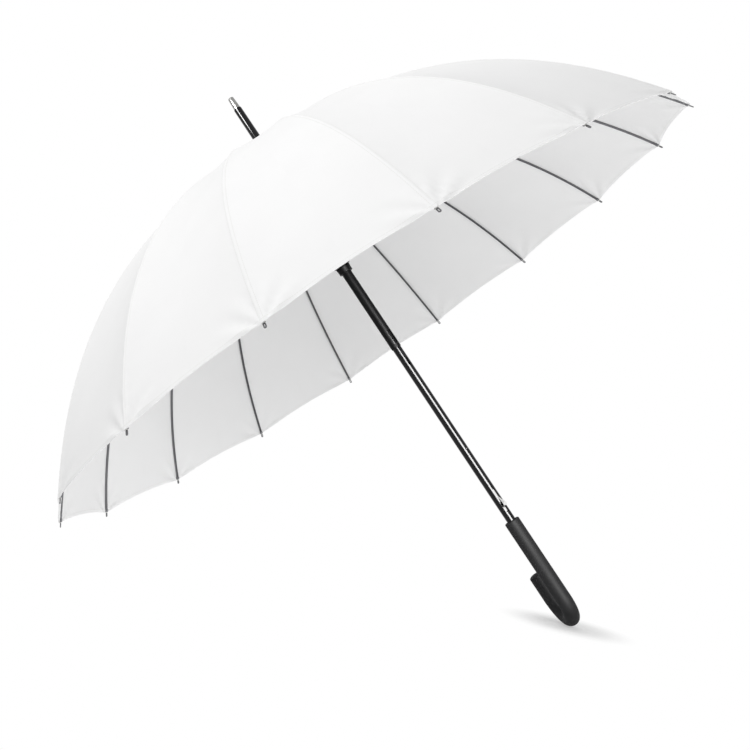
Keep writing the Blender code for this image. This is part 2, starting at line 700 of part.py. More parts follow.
add_part("ferrule_cap", ferrule_cap, BRIGHT_STEEL)


def crook_ring(radius, centre, heading):
    """Ring of the crook's tube about a point, square to a heading in the YZ plane."""
    side = Vector((1.0, 0.0, 0.0))
    up = heading.cross(side)
    angles = [2 * math.pi * k / ROUND_SIDES for k in range(ROUND_SIDES)]
    return [centre + side * (radius * math.cos(a)) + up * (radius * math.sin(a)) for a in angles]


def handle_rings():
    """Rings of the handle, from the floor of its socket round to the floor of the hole in its hook."""
    down = Vector((0.0, 0.0, -1.0))
    top = Vector((0.0, 0.0, HANDLE_TOP_Z))
    bend = Vector((0.0, 0.0, HANDLE_TOP_Z - HANDLE_STRAIGHT))
    rings = [
        crook_ring(SLIDE_RADIUS, Vector((0.0, 0.0, SHAFT_LOW_Z - CLEARANCE)), down),
        crook_ring(SLIDE_RADIUS, top, down),
        crook_ring(HANDLE_RADIUS - HANDLE_EDGE, top, down),
        crook_ring(HANDLE_RADIUS - HANDLE_EDGE_MIDDLE, top + down * HANDLE_EDGE_MIDDLE, down),
        crook_ring(HANDLE_RADIUS, top + down * HANDLE_EDGE, down),
    ]
    for k in range(CROOK_STEPS + 1):
        a = math.pi * k / CROOK_STEPS
        centre = bend + Vector((0.0, CROOK_RADIUS * (1 - math.cos(a)), -CROOK_RADIUS * math.sin(a)))
        rings.append(crook_ring(HANDLE_RADIUS, centre, Vector((0.0, math.sin(a), -math.cos(a)))))
    hole = END_CAP_STEM_RADIUS + CLEARANCE
    hook = bend + Vector((0.0, 2 * CROOK_RADIUS, HOOK_LENGTH))
    rings.append(crook_ring(HANDLE_RADIUS, hook, -down))
    rings.append(crook_ring(hole, hook, -down))
    rings.append(crook_ring(hole, hook + down * (END_CAP_STEM_LENGTH + 2 * CLEARANCE), -down))
    return rings, hook


rings, hook_end = handle_rings()
add_part("handle_grip", loft(rings), GRIP_RUBBER)

# Domed cap in the crook's open end
dome_low = CLEARANCE
profile = [
    (END_CAP_STEM_RADIUS, dome_low - END_CAP_STEM_LENGTH),
    (END_CAP_STEM_RADIUS, dome_low),
    (HANDLE_RADIUS, dome_low),
]
profile += [(HANDLE_RADIUS * across, dome_low + END_CAP_HEIGHT * up) for across, up in END_CAP_DOME]
end_cap = lathe(profile)
bmesh.ops.translate(end_cap, verts=end_cap.verts, vec=hook_end)
add_part("handle_end_cap", end_cap, BLACK_PLASTIC)
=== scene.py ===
"""Looks of a white stick umbrella: cloth canopy, steel frame, gloss black shaft and crook handle.

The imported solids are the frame. Lengths are in metres, the shaft stands along +Z with the ferrule on top,
and the crook bends towards +Y.
"""

import json
import math

import bpy
import numpy as np
from mathutils import Matrix, Vector


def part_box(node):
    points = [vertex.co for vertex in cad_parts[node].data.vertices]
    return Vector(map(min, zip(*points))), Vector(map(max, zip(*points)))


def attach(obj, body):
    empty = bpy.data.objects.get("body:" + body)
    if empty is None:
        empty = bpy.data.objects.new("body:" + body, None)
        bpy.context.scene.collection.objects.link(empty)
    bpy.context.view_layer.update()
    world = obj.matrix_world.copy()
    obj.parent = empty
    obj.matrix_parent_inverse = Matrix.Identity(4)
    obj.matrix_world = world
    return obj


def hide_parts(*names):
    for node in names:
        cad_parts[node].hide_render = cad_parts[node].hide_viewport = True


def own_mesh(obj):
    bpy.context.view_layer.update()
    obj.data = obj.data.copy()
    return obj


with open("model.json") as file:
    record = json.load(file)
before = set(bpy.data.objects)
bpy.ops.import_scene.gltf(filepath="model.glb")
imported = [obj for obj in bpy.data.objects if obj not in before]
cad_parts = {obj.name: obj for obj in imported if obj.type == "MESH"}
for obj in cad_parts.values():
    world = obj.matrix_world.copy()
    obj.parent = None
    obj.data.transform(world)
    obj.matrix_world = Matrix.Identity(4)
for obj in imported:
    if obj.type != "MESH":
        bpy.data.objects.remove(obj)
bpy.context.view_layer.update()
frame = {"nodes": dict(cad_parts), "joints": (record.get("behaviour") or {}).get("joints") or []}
scene = bpy.context.scene
scene.view_settings.view_transform = "Standard"

# Places taken from the frame
JOINTS = {joint["name"]: joint for joint in frame["joints"]}
RIB_COUNT = 16
GORE_ANGLE = 2 * math.pi / RIB_COUNT
HINGE = Vector(JOINTS["rib_hinge_01"]["pos_m"])
RIVET = Vector(JOINTS["stretcher_hinge_01"]["pos_m"])
SPRING_FOOT = {name: Vector(JOINTS[f"{name}_press"]["pos_m"]) for name in ("hand_spring", "top_spring")}
SPRING_AZIMUTH = math.atan2(SPRING_FOOT["hand_spring"].y, SPRING_FOOT["hand_spring"].x)
RUNNER_LOW, RUNNER_HIGH = (corner.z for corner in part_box("runner"))
SHAFT_LOW, SHAFT_HIGH = (corner.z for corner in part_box("shaft_tube"))
HANDLE_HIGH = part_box("handle_grip")[1].z
FERRULE_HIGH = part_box("ferrule_cap")[1].z
CAP_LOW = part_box("ferrule_cap")[0].z
WASHER_LOW, WASHER_HIGH = (corner.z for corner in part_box("crown_washer"))

# Rib line: a parabola from the hinge to the end of the tip
RIM_RADIUS = 0.5172
RIM_Z = 0.3966
RIB_BOW = 0.0740

# Rib: a channel folded from sheet, its tang and eye at the notch, and the bracket with its rivet
RIB_WIDTH = 0.0030
RIB_DEPTH = 0.0026
RIB_SHEET = 0.00045
RIB_START = 0.0065
RIB_STATIONS = 73
RIB_FOLD = 0.0004
RIB_LIP = 0.0003
RIB_DRAFT = 0.00002
RIB_OPEN_SIDE = Vector((-0.5, 0.0, -0.87))
FINE_EDGE = 0.0002
PLATE_HALF = 0.0006
TANG_START = 0.0008
TANG_END = 0.0140
TANG_HIGH = 0.0011
EYE_BORE = 0.00075
EYE_RADIUS = 0.00135
BRACKET_HALF = 0.0030
BRACKET_HIGH = 0.0010
BRACKET_TAPER = 0.55
BRACKET_NOSE = 0.0016
RIVET_SHANK = 0.0005
RIVET_REACH = 0.0017
RIVET_HEAD = 0.0009
RIVET_CROWN = 0.0004
RIVET_ROUND = 0.0001

# Tip: a sleeve pressed over the rib's end, a flat neck and a long eye, and the thread that ties the cloth on
TIP_LENGTH = 0.0120
TIP_SOCKET = 0.0050
SOCKET_PLAY = 0.0005
TIP_SLEEVE = 0.0044
TIP_HALF_WIDTH = 0.0020
TIP_HALF_DEPTH = 0.0018
TIP_ROUND = 0.0006
TIP_FLAT_HALF = 0.0005
NECK_HALF = 0.0011
NECK_LAP = 0.0004
TIP_EYE_AT = 0.0068
TIP_EYE_BORE = 0.0005
TIP_EYE_RADIUS = 0.0019
TIP_EYE_STRETCH = 0.0032
TIE_AT = 0.0050
TIE_WIDE = 0.0016
TIE_HIGH = 0.0009
TIE_LOOPS = 2
TIE_PITCH = 0.00055
TIE_THREAD = 0.00030

# Cloth
CLOTH_START = 0.0022
CLOTH_THICKNESS = 0.00035
CLOTH_OFF_RIB = 0.0005
CLOTH_LIFT_AT_CROWN = 0.0022
CLOTH_LIFT_REACH = 0.030
CLOTH_SHORT_OF_END = 0.0065
GORE_SAG = 0.0105
RIM_SCALLOP = 0.0052
RIM_BAND = 0.050
HEM_WIDTH = 0.0060
HEM_EXTRA = 0.0005
HEM_STEP = 0.0004
SEAM_HALF_WIDTH = 0.0032
SEAM_EXTRA = 0.0004
SEAM_SLOPE = 1.6

# Puckers along a seam, and folds that fan out from a sewn corner. A shift makes each gore's own differ
PUCKER_HEIGHT = 0.00035
PUCKER_PITCH = 0.021
PUCKER_REACH = 0.010
PUCKER_FREE = 0.003
PUCKER_SHIFT = 1.7
FOLD_HEIGHT = 0.0011
FOLD_AT = 0.030
FOLD_SPREAD = 0.026
FOLD_ROOT = 0.004
FOLD_WAVES = 9
FOLD_SHIFT = 0.9
FOLD_SIDE_SHIFT = 0.5
FOLD_FADE = 0.25

# Weave and stitches. Real threads lie 0.12 mm apart, and are drawn wider so that they show at all
THREAD_PITCH = 0.0016
THREAD_SHARE = 0.5
SLUB_SIZE = 0.012
SLUB_SHARE = 1.4
BLEACH_SIZE = 0.09
WEAVE_RELIEF = 0.00012
SEAM_STITCH = 0.0024
HEM_STITCH = 0.0045
STITCH_PITCH = 0.0030
STITCH_LENGTH = 0.0022
STITCH_WIDTH = 0.0007
STITCH_DIP = 0.9

# Rosette: the round patch on the crown, with its pleats and its wavy edge
ROSETTE_INNER = 0.0072
ROSETTE_OUTER = 0.0165
ROSETTE_LAYERS = (0.0001, 0.0004)
ROSETTE_RINGS = 9
ROSETTE_SPOKES = 96
ROSETTE_PLEATS = 24
PLEAT_HEIGHT = 0.00012
PLEAT_RISE = 1.3
EDGE_WAVE = 0.02
PRESSED_RADIUS = 0.013
PRESSED_GAP = 0.0001
CLEAR_OF_SEAM = 0.1
CLEAR_OF_HEM = 0.005

# Shaft and springs. A slot is its half width and its reach below and above the place that it is for
SHAFT_RADIUS = 0.0065
SHAFT_BORE = 0.0057
HAND_NOSE_Z = 0.0905
HAND_REACH = 0.0046
HAND_RAMP = 0.0120
HAND_SPREAD = 0.8
TOP_NOSE_Z = RUNNER_LOW - 0.0020
TOP_REACH = 0.0023
TOP_RAMP = 0.0180
SPRING_WIDTH = 0.0032
SPRING_SHEET = 0.0005
SPRING_EDGE = 0.00012
SPRING_OFF_WALL = 0.00095
SPRING_LEAN = 0.0003
SPRING_RUN_OUT = 0.002
SPRING_TAIL = 0.007
SPRING_STEEP = 0.0036
FOOT_IN = 0.0004
FOOT_DOWN = 0.0006
FOOT_STRAIGHT = 0.02
SWELL_OUT = 0.75
SWELL_AT = 0.42
SWELL_DROP = 0.0006
NOSE_ABOVE = 0.0012
NOSE_BELOW = 0.0008
NOSE_BROAD = 0.0042
HAND_SLOT = (0.0018, 0.0120, 0.0250)
TOP_SLOT = (0.0018, 0.0280, 0.0045)
HUMP_SLOTS = ((0.0032, 0.0032, 0.0032), (0.0027, 0.0052, 0.0052))
FOOT_SLOT = (0.0018, 0.0011, 0.0011)
RUNNER_SLOT = (0.0032, 0.0060, 0.0160)
STOP_EDGE = 0.0004
STOP_CROWN = 0.6

# Runner
SLIDE_RADIUS = 0.0068
SLEEVE_RADIUS = 0.0074
COLLAR_RADIUS = 0.0102
COLLAR_HEIGHT = 0.0070
FLANGE_RADIUS = 0.0106
FLANGE_HEIGHT = 0.0080
RUNNER_HEAD = 0.0015
CAP_ROUND = 0.0028
MOULD_EDGE = 0.0002
SLOT_WIDTH = 0.0018
SLOT_FLOOR = 0.0075
SLOT_REACH = 0.014
WIRE_RADIUS = 0.00045

# Ferrule: plug in the shaft, collar, taper and stud, then the cap with its grooves, and the washer below
PLUG_RADIUS = 0.0053
PLUG_LEAD = 0.0005
PLUG_LEAD_LENGTH = 0.0008
FERRULE_RADIUS = 0.0064
FERRULE_EDGE = 0.0002
FERRULE_SEAT = 0.0003
FERRULE_COLLAR = 0.0030
FERRULE_TAPER = 0.0058
STUD_RADIUS = 0.0028
STUD_LENGTH = 0.0110
CAP_BORE = 0.0031
CAP_DEPTH = 0.0114
CAP_RADIUS = 0.0050
CAP_FOOT = 0.0022
CAP_RING = 0.0048
CAP_GROOVE = 0.0045
CAP_GROOVES = ((0.0026, 0.0034), (0.0047, 0.0054))
GROOVE_EDGE = 0.0001
CAP_SHOULDER = (0.0043, 0.0014)
CAP_BROW = (0.0039, 0.0004)
WASHER_RADIUS = 0.0125
WASHER_EDGE = 0.0003
WASHER_FLAT = 0.0110

# Handle
HANDLE_RADIUS = 0.01125
HANDLE_STRAIGHT = 0.1303
HANDLE_SIDES = 48
HANDLE_EDGE = 0.0020
HANDLE_SOCKET = 0.012
SOCKET_CHAMFER = 0.0006
CROOK_RADIUS = 0.034
CROOK_STEPS = 36
HOOK_LENGTH = 0.036
DOME_SEAT = 0.0004
DOME_LEAD = 0.0003
DOME_GAP = 0.0001
ROUND_SIDES = 64

# Turns a piece that was made about the shaft so that its axis lies sideways, along Y
LYING = Matrix.Rotation(math.radians(90), 4, "X")

# Ground: two of the rib tips and the crook rest on it
RESTING_RIBS = (8, 7)
FLOOR_GAP = 0.0006
FLOOR_SIZE = 0.4
FLOOR_GLOW = 0.42
SHADOW_FULL = 0.030
SHADOW_END = 0.105

# Light. A lamp is its degrees from +X, distance, height, the height it aims at, its width and height, watts
WORLD_LIGHT = 0.46
SOFT_BOXES = {
    "key": (256.0, 1.3, 2.6, 0.45, 1.6, 1.6, 30.0),
    "front": (257.0, 2.0, 1.0, 0.55, 1.4, 1.4, 4.5),
    "fill": (275.0, 0.5, -1.3, 0.60, 1.4, 1.4, 20.0),
}
STRIPS = {
    "strip": (279.0, 1.6, 0.25, 0.25, 0.95, 2.2, 400.0),
    "upper_strip": (229.0, 1.6, 1.35, 0.75, 0.34, 0.8, 112.0),
}
LIT_BY_STRIP = {
    "strip": ("shaft_black", "handle_crook", "handle_dome", "runner_moulded"),
    "upper_strip": ("ferrule_black", "ferrule_bright"),
}

# Camera solved from the photographed rib tips
CAMERA_AT = Vector((-0.321, -1.506, 0.216))
CAMERA_RIGHT = Vector((0.8241, -0.1270, -0.5520))
CAMERA_UP = Vector((0.5311, -0.1657, 0.8310))
CAMERA_LENS = 52.08
CAMERA_SENSOR = 36.0
CAMERA_SHIFT = -0.0333


def linear(hex_colour):
    """An sRGB hex colour as linear RGBA."""
    values = [int(hex_colour[k : k + 2], 16) / 255 for k in (0, 2, 4)]
    return [v / 12.92 if v <= 0.04045 else ((v + 0.055) / 1.055) ** 2.4 for v in values] + [1.0]


def add_node(material, kind, inputs=None, **settings):
    """Adds a node with its settings. An input takes a value or another node's output."""
    made = material.node_tree.nodes.new(kind)
    for key, value in settings.items():
        setattr(made, key, value)
    for socket, source in (inputs or {}).items():
        if isinstance(source, bpy.types.NodeSocket):
            material.node_tree.links.new(source, made.inputs[socket])
        else:
            made.inputs[socket].default_value = source
    return made


def new_material(name, **sockets):
    """A material with its Principled shader, whose constant sockets are set by name."""
    material = bpy.data.materials.new(name)
    material.use_nodes = True
    shader = material.node_tree.nodes["Principled BSDF"]
    for socket, value in sockets.items():
        shader.inputs[socket.replace("_", " ")].default_value = value
    return material, shader


def link(material, output, socket):
    """Joins an output to a socket."""
    material.node_tree.links.new(output, socket)


def white_pongee():
    """Polyester pongee: a thin plain weave, matt with a faint sheen, sewn with white thread."""
    material, shader = new_material("white_pongee", Roughness=0.82, IOR=1.45, Specular_IOR_Level=0.03)
    place = add_node(material, "ShaderNodeUVMap", uv_map="cloth")
    axes = add_node(material, "ShaderNodeSeparateXYZ", {"Vector": place.outputs["UV"]})
    rim = add_node(material, "ShaderNodeUVMap", uv_map="rim")
    rim_axes = add_node(material, "ShaderNodeSeparateXYZ", {"Vector": rim.outputs["UV"]})

    # Warp over weft, and thick places in the yarn
    turns = (2 * math.pi / THREAD_PITCH, 2 * math.pi / THREAD_PITCH, 0.0)
    wound = {0: place.outputs["UV"], 1: turns}
    angles = add_node(material, "ShaderNodeVectorMath", wound, operation="MULTIPLY")
    waves = add_node(material, "ShaderNodeVectorMath", {0: angles.outputs[0]}, operation="SINE")
    warp_weft = add_node(material, "ShaderNodeSeparateXYZ", {"Vector": waves.outputs[0]})
    crossing = {0: warp_weft.outputs["X"], 1: warp_weft.outputs["Y"]}
    weave = add_node(material, "ShaderNodeMath", crossing, operation="MULTIPLY")
    yarn = {"Vector": place.outputs["UV"], "Scale": 1 / SLUB_SIZE, "Detail": 4.0, "Roughness": 0.6}
    slub = add_node(material, "ShaderNodeTexNoise", yarn)
    thick = {0: slub.outputs["Fac"], 1: SLUB_SHARE}
    uneven = add_node(material, "ShaderNodeMath", thick, operation="MULTIPLY")
    threads = {0: weave.outputs[0], 1: THREAD_SHARE, 2: uneven.outputs[0]}
    woven = add_node(material, "ShaderNodeMath", threads, operation="MULTIPLY_ADD")

    # Lockstitch in dashes, on both sides of each seam and along the hem
    beside_seam = add_node(material, "ShaderNodeMath", {0: axes.outputs["X"]}, operation="ABSOLUTE")
    rows = []
    for offset, row, run in (
        (beside_seam.outputs[0], SEAM_STITCH, axes.outputs["Y"]),
        (rim_axes.outputs["Y"], HEM_STITCH, rim_axes.outputs["X"]),
    ):
        on_row = {0: offset, 1: row, 2: STITCH_WIDTH / 2}
        line = add_node(material, "ShaderNodeMath", on_row, operation="COMPARE")
        step = add_node(material, "ShaderNodeMath", {0: run, 1: STITCH_PITCH}, operation="FLOORED_MODULO")
        in_dash = {0: step.outputs[0], 1: STITCH_LENGTH}
        dash = add_node(material, "ShaderNodeMath", in_dash, operation="LESS_THAN")
        both = {0: line.outputs[0], 1: dash.outputs[0]}
        rows.append(add_node(material, "ShaderNodeMath", both, operation="MULTIPLY").outputs[0])
    stitched = add_node(material, "ShaderNodeMath", {0: rows[0], 1: rows[1]}, operation="MAXIMUM")
    sunk = {0: stitched.outputs[0], 1: -STITCH_DIP, 2: woven.outputs[0]}
    height = add_node(material, "ShaderNodeMath", sunk, operation="MULTIPLY_ADD")
    relief = {"Strength": 0.35, "Distance": WEAVE_RELIEF, "Height": height.outputs[0]}
    bump = add_node(material, "ShaderNodeBump", relief)
    link(material, bump.outputs["Normal"], shader.inputs["Normal"])

    # Broad faint unevenness of the bleach, and thread a little greyer than cloth
    bleach = {"Vector": place.outputs["UV"], "Scale": 1 / BLEACH_SIZE, "Detail": 3.0}
    tone = add_node(material, "ShaderNodeTexNoise", bleach)
    ramp = add_node(material, "ShaderNodeValToRGB", {"Fac": tone.outputs["Fac"]})
    ramp.color_ramp.elements[0].color = linear("F3F3F3")
    ramp.color_ramp.elements[1].color = linear("F8F8F8")
    sewn = {"Factor": stitched.outputs[0], "A": ramp.outputs["Color"], "B": linear("EDEDEB")}
    mix = add_node(material, "ShaderNodeMix", sewn, data_type="RGBA")
    link(material, mix.outputs["Result"], shader.inputs["Base Color"])
    return material


def grained(name, dark, light, roughness, grain, depth, **sockets):
    """A solid finish whose colour, gloss and surface vary by a grain, in metres.

    The grain of a mould, a plate or a thread is finer than this, and is drawn coarser so that it shows.
    """
    material, shader = new_material(name, **sockets)
    place = add_node(material, "ShaderNodeTexCoord")
    grit = {"Vector": place.outputs["Object"], "Scale": 1 / grain, "Detail": 5.0, "Roughness": 0.6}
    fine = add_node(material, "ShaderNodeTexNoise", grit)
    cloud = {"Vector": place.outputs["Object"], "Scale": 1 / (40 * grain), "Detail": 3.0}
    broad = add_node(material, "ShaderNodeTexNoise", cloud)
    ramp = add_node(material, "ShaderNodeValToRGB", {"Fac": broad.outputs["Fac"]})
    ramp.color_ramp.elements[0].color = linear(dark)
    ramp.color_ramp.elements[1].color = linear(light)
    link(material, ramp.outputs["Color"], shader.inputs["Base Color"])
    polish = {"Value": broad.outputs["Fac"], "To Min": roughness * 0.85, "To Max": roughness * 1.2}
    gloss = add_node(material, "ShaderNodeMapRange", polish)
    link(material, gloss.outputs["Result"], shader.inputs["Roughness"])
    relief = {"Strength": 0.3, "Distance": depth, "Height": fine.outputs["Fac"]}
    bump = add_node(material, "ShaderNodeBump", relief)
    link(material, bump.outputs["Normal"], shader.inputs["Normal"])
    return material


PONGEE = white_pongee()
# Stoved gloss enamel on steel tube: nearly black, smooth, with crisp lights
BLACK_ENAMEL = grained(
    "black_enamel", "0B0B0D", "111113", roughness=0.17, grain=0.0300, depth=0.0000005, Specular_IOR_Level=0.2
)
# Moulded ABS, satin and deep black, with the fine spark-eroded grain of its mould
BLACK_ABS = grained(
    "black_abs", "070708", "0B0B0C", roughness=0.42, grain=0.0006, depth=0.000004, Specular_IOR_Level=0.09
)
# Soft-touch lacquer over a moulded handle: dull dark grey with a broad soft light
SOFT_TOUCH = grained(
    "soft_touch_lacquer",
    "2E2E2F",
    "343435",
    roughness=0.60,
    grain=0.0012,
    depth=0.000001,
    Specular_IOR_Level=0.06,
)
# Black-nickel plate on rolled steel channel: mid grey metal with soft lights
RIB_STEEL = grained(
    "black_nickel_steel", "78787B", "8C8C8F", roughness=0.38, grain=0.0008, depth=0.000010, Metallic=1.0
)
# Bare pressed steel of the tips' flat ends, oiled: mid grey, a little duller than the ribs
TIP_STEEL = grained(
    "oiled_steel", "6A6A6C", "7C7C7E", roughness=0.42, grain=0.0008, depth=0.000010, Metallic=1.0
)
# Blued spring steel of the upper catch and the runner's wire: nearly black with a dull shine
BLUED_STEEL = grained(
    "blued_spring_steel", "1B1B1E", "26262A", roughness=0.30, grain=0.0008, depth=0.000008, Metallic=0.6
)
# Bright nickel plate on the lower catch and the stop pin: almost white, and mirrors its surroundings softly
BRIGHT_NICKEL = grained(
    "bright_nickel", "E4E4E3", "F2F2F1", roughness=0.22, grain=0.0010, depth=0.000003, Metallic=1.0
)
# Darker satin nickel plate on the turned cap of the ferrule
SATIN_NICKEL = grained(
    "satin_nickel", "8A8A88", "9C9C9A", roughness=0.20, grain=0.0010, depth=0.000002, Metallic=1.0
)
# Twisted cotton thread of the ties: off-white and quite dull
THREAD = grained("white_thread", "DCDCD8", "ECECE8", roughness=0.85, grain=0.0004, depth=0.000050)


def apply_modifier(piece, kind, **settings):
    """Adds a modifier with its settings and applies it."""
    modifier = piece.modifiers.new(kind.title(), kind)
    for key, value in settings.items():
        setattr(modifier, key, value)
    bpy.context.view_layer.objects.active = piece
    bpy.ops.object.modifier_apply(modifier=modifier.name)


def named(name):
    """Names the object that was just added."""
    piece = bpy.context.object
    piece.name = name
    piece.data.name = name
    return piece


def pick(*pieces):
    """Selects these objects alone, and makes the first one active."""
    bpy.ops.object.select_all(action="DESELECT")
    for piece in pieces:
        piece.select_set(True)
    bpy.context.view_layer.objects.active = pieces[0]


def shade(piece, degrees=35):
    """Smooth shading, broken at edges sharper than the angle."""
    pick(piece)
    bpy.ops.object.shade_smooth_by_angle(angle=math.radians(degrees))
    piece.select_set(False)


def outward(piece):
    """Makes the faces of a closed piece look outwards."""
    pick(piece)
    bpy.ops.object.mode_set(mode="EDIT")
    bpy.ops.mesh.select_all(action="SELECT")
    bpy.ops.mesh.normals_make_consistent(inside=False)
    bpy.ops.object.mode_set(mode="OBJECT")


def extruded_circle(name, profile, sides, fill):
    """Extrudes a circle through (radius, height) steps. The last ring stays selected in edit mode."""
    bpy.ops.object.select_all(action="DESELECT")
    radius, height = profile[0]
    bpy.ops.mesh.primitive_circle_add(vertices=sides, radius=radius, fill_type=fill, location=(0, 0, height))
    piece = named(name)
    bpy.ops.object.transform_apply(location=True, rotation=True, scale=True)
    bpy.ops.object.mode_set(mode="EDIT")
    bpy.ops.mesh.select_mode(type="VERT")
    bpy.ops.mesh.select_all(action="SELECT")
    for new_radius, new_height in profile[1:]:
        bpy.ops.mesh.extrude_region_move(TRANSFORM_OT_translate={"value": (0, 0, new_height - height)})
        grow = new_radius / radius
        bpy.ops.transform.resize(value=(grow, grow, 1), center_override=(0, 0, new_height))
        radius, height = new_radius, new_height
    return piece


def turned_piece(name, profile, hollow=False, sides=ROUND_SIDES):
    """Turns (radius, height) steps about the shaft's axis. A hollow piece is closed from last to first."""
    piece = extruded_circle(name, profile, sides, "NOTHING" if hollow else "NGON")
    if hollow:
        bpy.ops.mesh.select_all(action="DESELECT")
        bpy.ops.mesh.select_non_manifold()
        bpy.ops.mesh.bridge_edge_loops()
    bpy.ops.object.mode_set(mode="OBJECT")
    outward(piece)
    return piece


def both_ways(half):
    """A profile with the same steps below height 0 as above it."""
    return [(radius, -height) for radius, height in reversed(half)] + half


def arc(start, stop, count):
    """Evenly spaced angles, in radians, between two angles in degrees."""
    return [math.radians(start + (stop - start) * k / (count - 1)) for k in range(count)]


def edit_faces(piece, wanted):
    """Opens a piece in edit mode with only those faces selected that pass a test."""
    pick(piece)
    bpy.ops.object.mode_set(mode="EDIT")
    bpy.ops.mesh.select_mode(type="FACE")
    bpy.ops.mesh.select_all(action="DESELECT")
    bpy.ops.object.mode_set(mode="OBJECT")
    for face in piece.data.polygons:
        face.select = wanted(face)
    bpy.ops.object.mode_set(mode="EDIT")


def drawn_bar(name, width, depth, line, spread=None):
    """Draws a bar by extruding a rectangle along a line of (x, z) points and turning it with the line.

    spread gives the share of the width at each point, where it is not the same all along.
    """
    steps = np.diff(line, axis=0)
    turns = np.unwrap(np.arctan2(steps[:, 1], steps[:, 0]))
    turns = np.concatenate([turns[:1], (turns[1:] + turns[:-1]) / 2, turns[-1:]])
    bpy.ops.object.select_all(action="DESELECT")
    place = (line[0][0], 0.0, line[0][1])
    bpy.ops.mesh.primitive_plane_add(size=1.0, location=place, rotation=(0.0, math.pi / 2 - turns[0], 0.0))
    piece = named(name)
    piece.scale = (depth, width, 1.0)
    bpy.ops.object.transform_apply(location=True, rotation=True, scale=True)
    bpy.ops.object.mode_set(mode="EDIT")
    bpy.ops.mesh.select_mode(type="VERT")
    bpy.ops.mesh.select_all(action="SELECT")
    for k, (x, z) in enumerate(line[1:], 1):
        move = (x - line[k - 1][0], 0.0, z - line[k - 1][1])
        bpy.ops.mesh.extrude_region_move(TRANSFORM_OT_translate={"value": move})
        bpy.ops.transform.rotate(value=turns[k] - turns[k - 1], orient_axis="Y", center_override=(x, 0.0, z))
        if spread is not None:
            bpy.ops.transform.resize(value=(1.0, spread[k] / spread[k - 1], 1.0), center_override=(x, 0.0, z))
    bpy.ops.object.mode_set(mode="OBJECT")
    outward(piece)
    return piece


def rounded(line):
    """Rounds the corners of a line by cutting each off twice."""
    points = np.array(line)
    for _ in range(2):
        near = 0.75 * points[:-1] + 0.25 * points[1:]
        far = 0.25 * points[:-1] + 0.75 * points[1:]
        points = np.concatenate([points[:1], np.stack([near, far], 1).reshape(-1, 2), points[-1:]])
    return points


def block(name, low, high, bevel=0.0):
    """A block between two corners, with its edges rounded where a bevel is given."""
    bpy.ops.object.select_all(action="DESELECT")
    low, high = Vector(low), Vector(high)
    bpy.ops.mesh.primitive_cube_add(size=1.0, location=(low + high) / 2, scale=high - low)
    piece = named(name)
    bpy.ops.object.transform_apply(location=True, rotation=True, scale=True)
    if bevel:
        apply_modifier(piece, "BEVEL", width=bevel, segments=2)
    return piece


def joined(pieces):
    """Joins several objects into the first."""
    pick(*pieces)
    bpy.ops.object.join()
    return pieces[0]


def cut(piece, cutter):
    """Cuts one object out of another and removes the cutter."""
    apply_modifier(piece, "BOOLEAN", operation="DIFFERENCE", solver="EXACT", object=cutter)
    bpy.data.objects.remove(cutter, do_unlink=True)


def dress(piece, body, look, slot, *nodes):
    """Gives a piece its material and its body, and hides the solids that it stands for. The slot is not used.
    """
    if look:
        piece.data.materials.clear()
        piece.data.materials.append(look)
    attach(piece, body)
    if nodes:
        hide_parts(*nodes)


def copied(piece, name, turn):
    """A copy with its own mesh, turned about the shaft."""
    made = piece.copy()
    made.data = piece.data.copy()
    made.name = name
    made.data.name = name
    made.data.transform(Matrix.Rotation(turn, 4, "Z"))
    scene.collection.objects.link(made)
    return made


def standing(matrix, piece):
    """Moves a piece's mesh to its place."""
    piece.data.transform(matrix)
    piece.data.update()
    return piece


# Rib line in the plane of the first rib, measured along its length
SHARES = np.linspace(0.0, 1.0, 4001)
CHORD = np.array([RIM_RADIUS - HINGE.x, RIM_Z - HINGE.z])
CHORD_UP = np.array([-CHORD[1], CHORD[0]]) / np.hypot(*CHORD)
RIB_POINTS = np.array([HINGE.x, HINGE.z]) + np.outer(SHARES, CHORD)
RIB_POINTS = RIB_POINTS + np.outer(4 * RIB_BOW * SHARES * (1 - SHARES), CHORD_UP)
RIB_STEPS = np.hypot(*np.diff(RIB_POINTS, axis=0).T)
RIB_RUN = np.concatenate([[0.0], np.cumsum(RIB_STEPS)])
RIB_LENGTH = RIB_RUN[-1]
CLOTH_END = RIB_LENGTH - CLOTH_SHORT_OF_END


def on_rib(distance):
    """Radius, height and direction of the rib's line at distances from its hinge."""
    distance = np.asarray(distance, float)
    radius = np.interp(distance, RIB_RUN, RIB_POINTS[:, 0])
    height = np.interp(distance, RIB_RUN, RIB_POINTS[:, 1])
    slope = np.gradient(RIB_POINTS, RIB_RUN, axis=0)
    along = np.stack([np.interp(distance, RIB_RUN, slope[:, k]) for k in (0, 1)], -1)
    along /= np.linalg.norm(along, axis=-1, keepdims=True)
    return radius, height, along


def rib_matrix(distance):
    """Frame on the rib's line: X along the rib, Y sideways, Z up from it."""
    radius, height, along = on_rib(distance)
    x_axis = Vector((along[0], 0.0, along[1]))
    z_axis = Vector((-along[1], 0.0, along[0]))
    y_axis = z_axis.cross(x_axis)
    turn = Matrix((x_axis, y_axis, z_axis)).transposed().to_4x4()
    return Matrix.Translation((float(radius), 0.0, float(height))) @ turn


def smooth_step(value):
    """Eases a share from 0 to 1."""
    value = np.clip(value, 0.0, 1.0)
    return value * value * (3 - 2 * value)


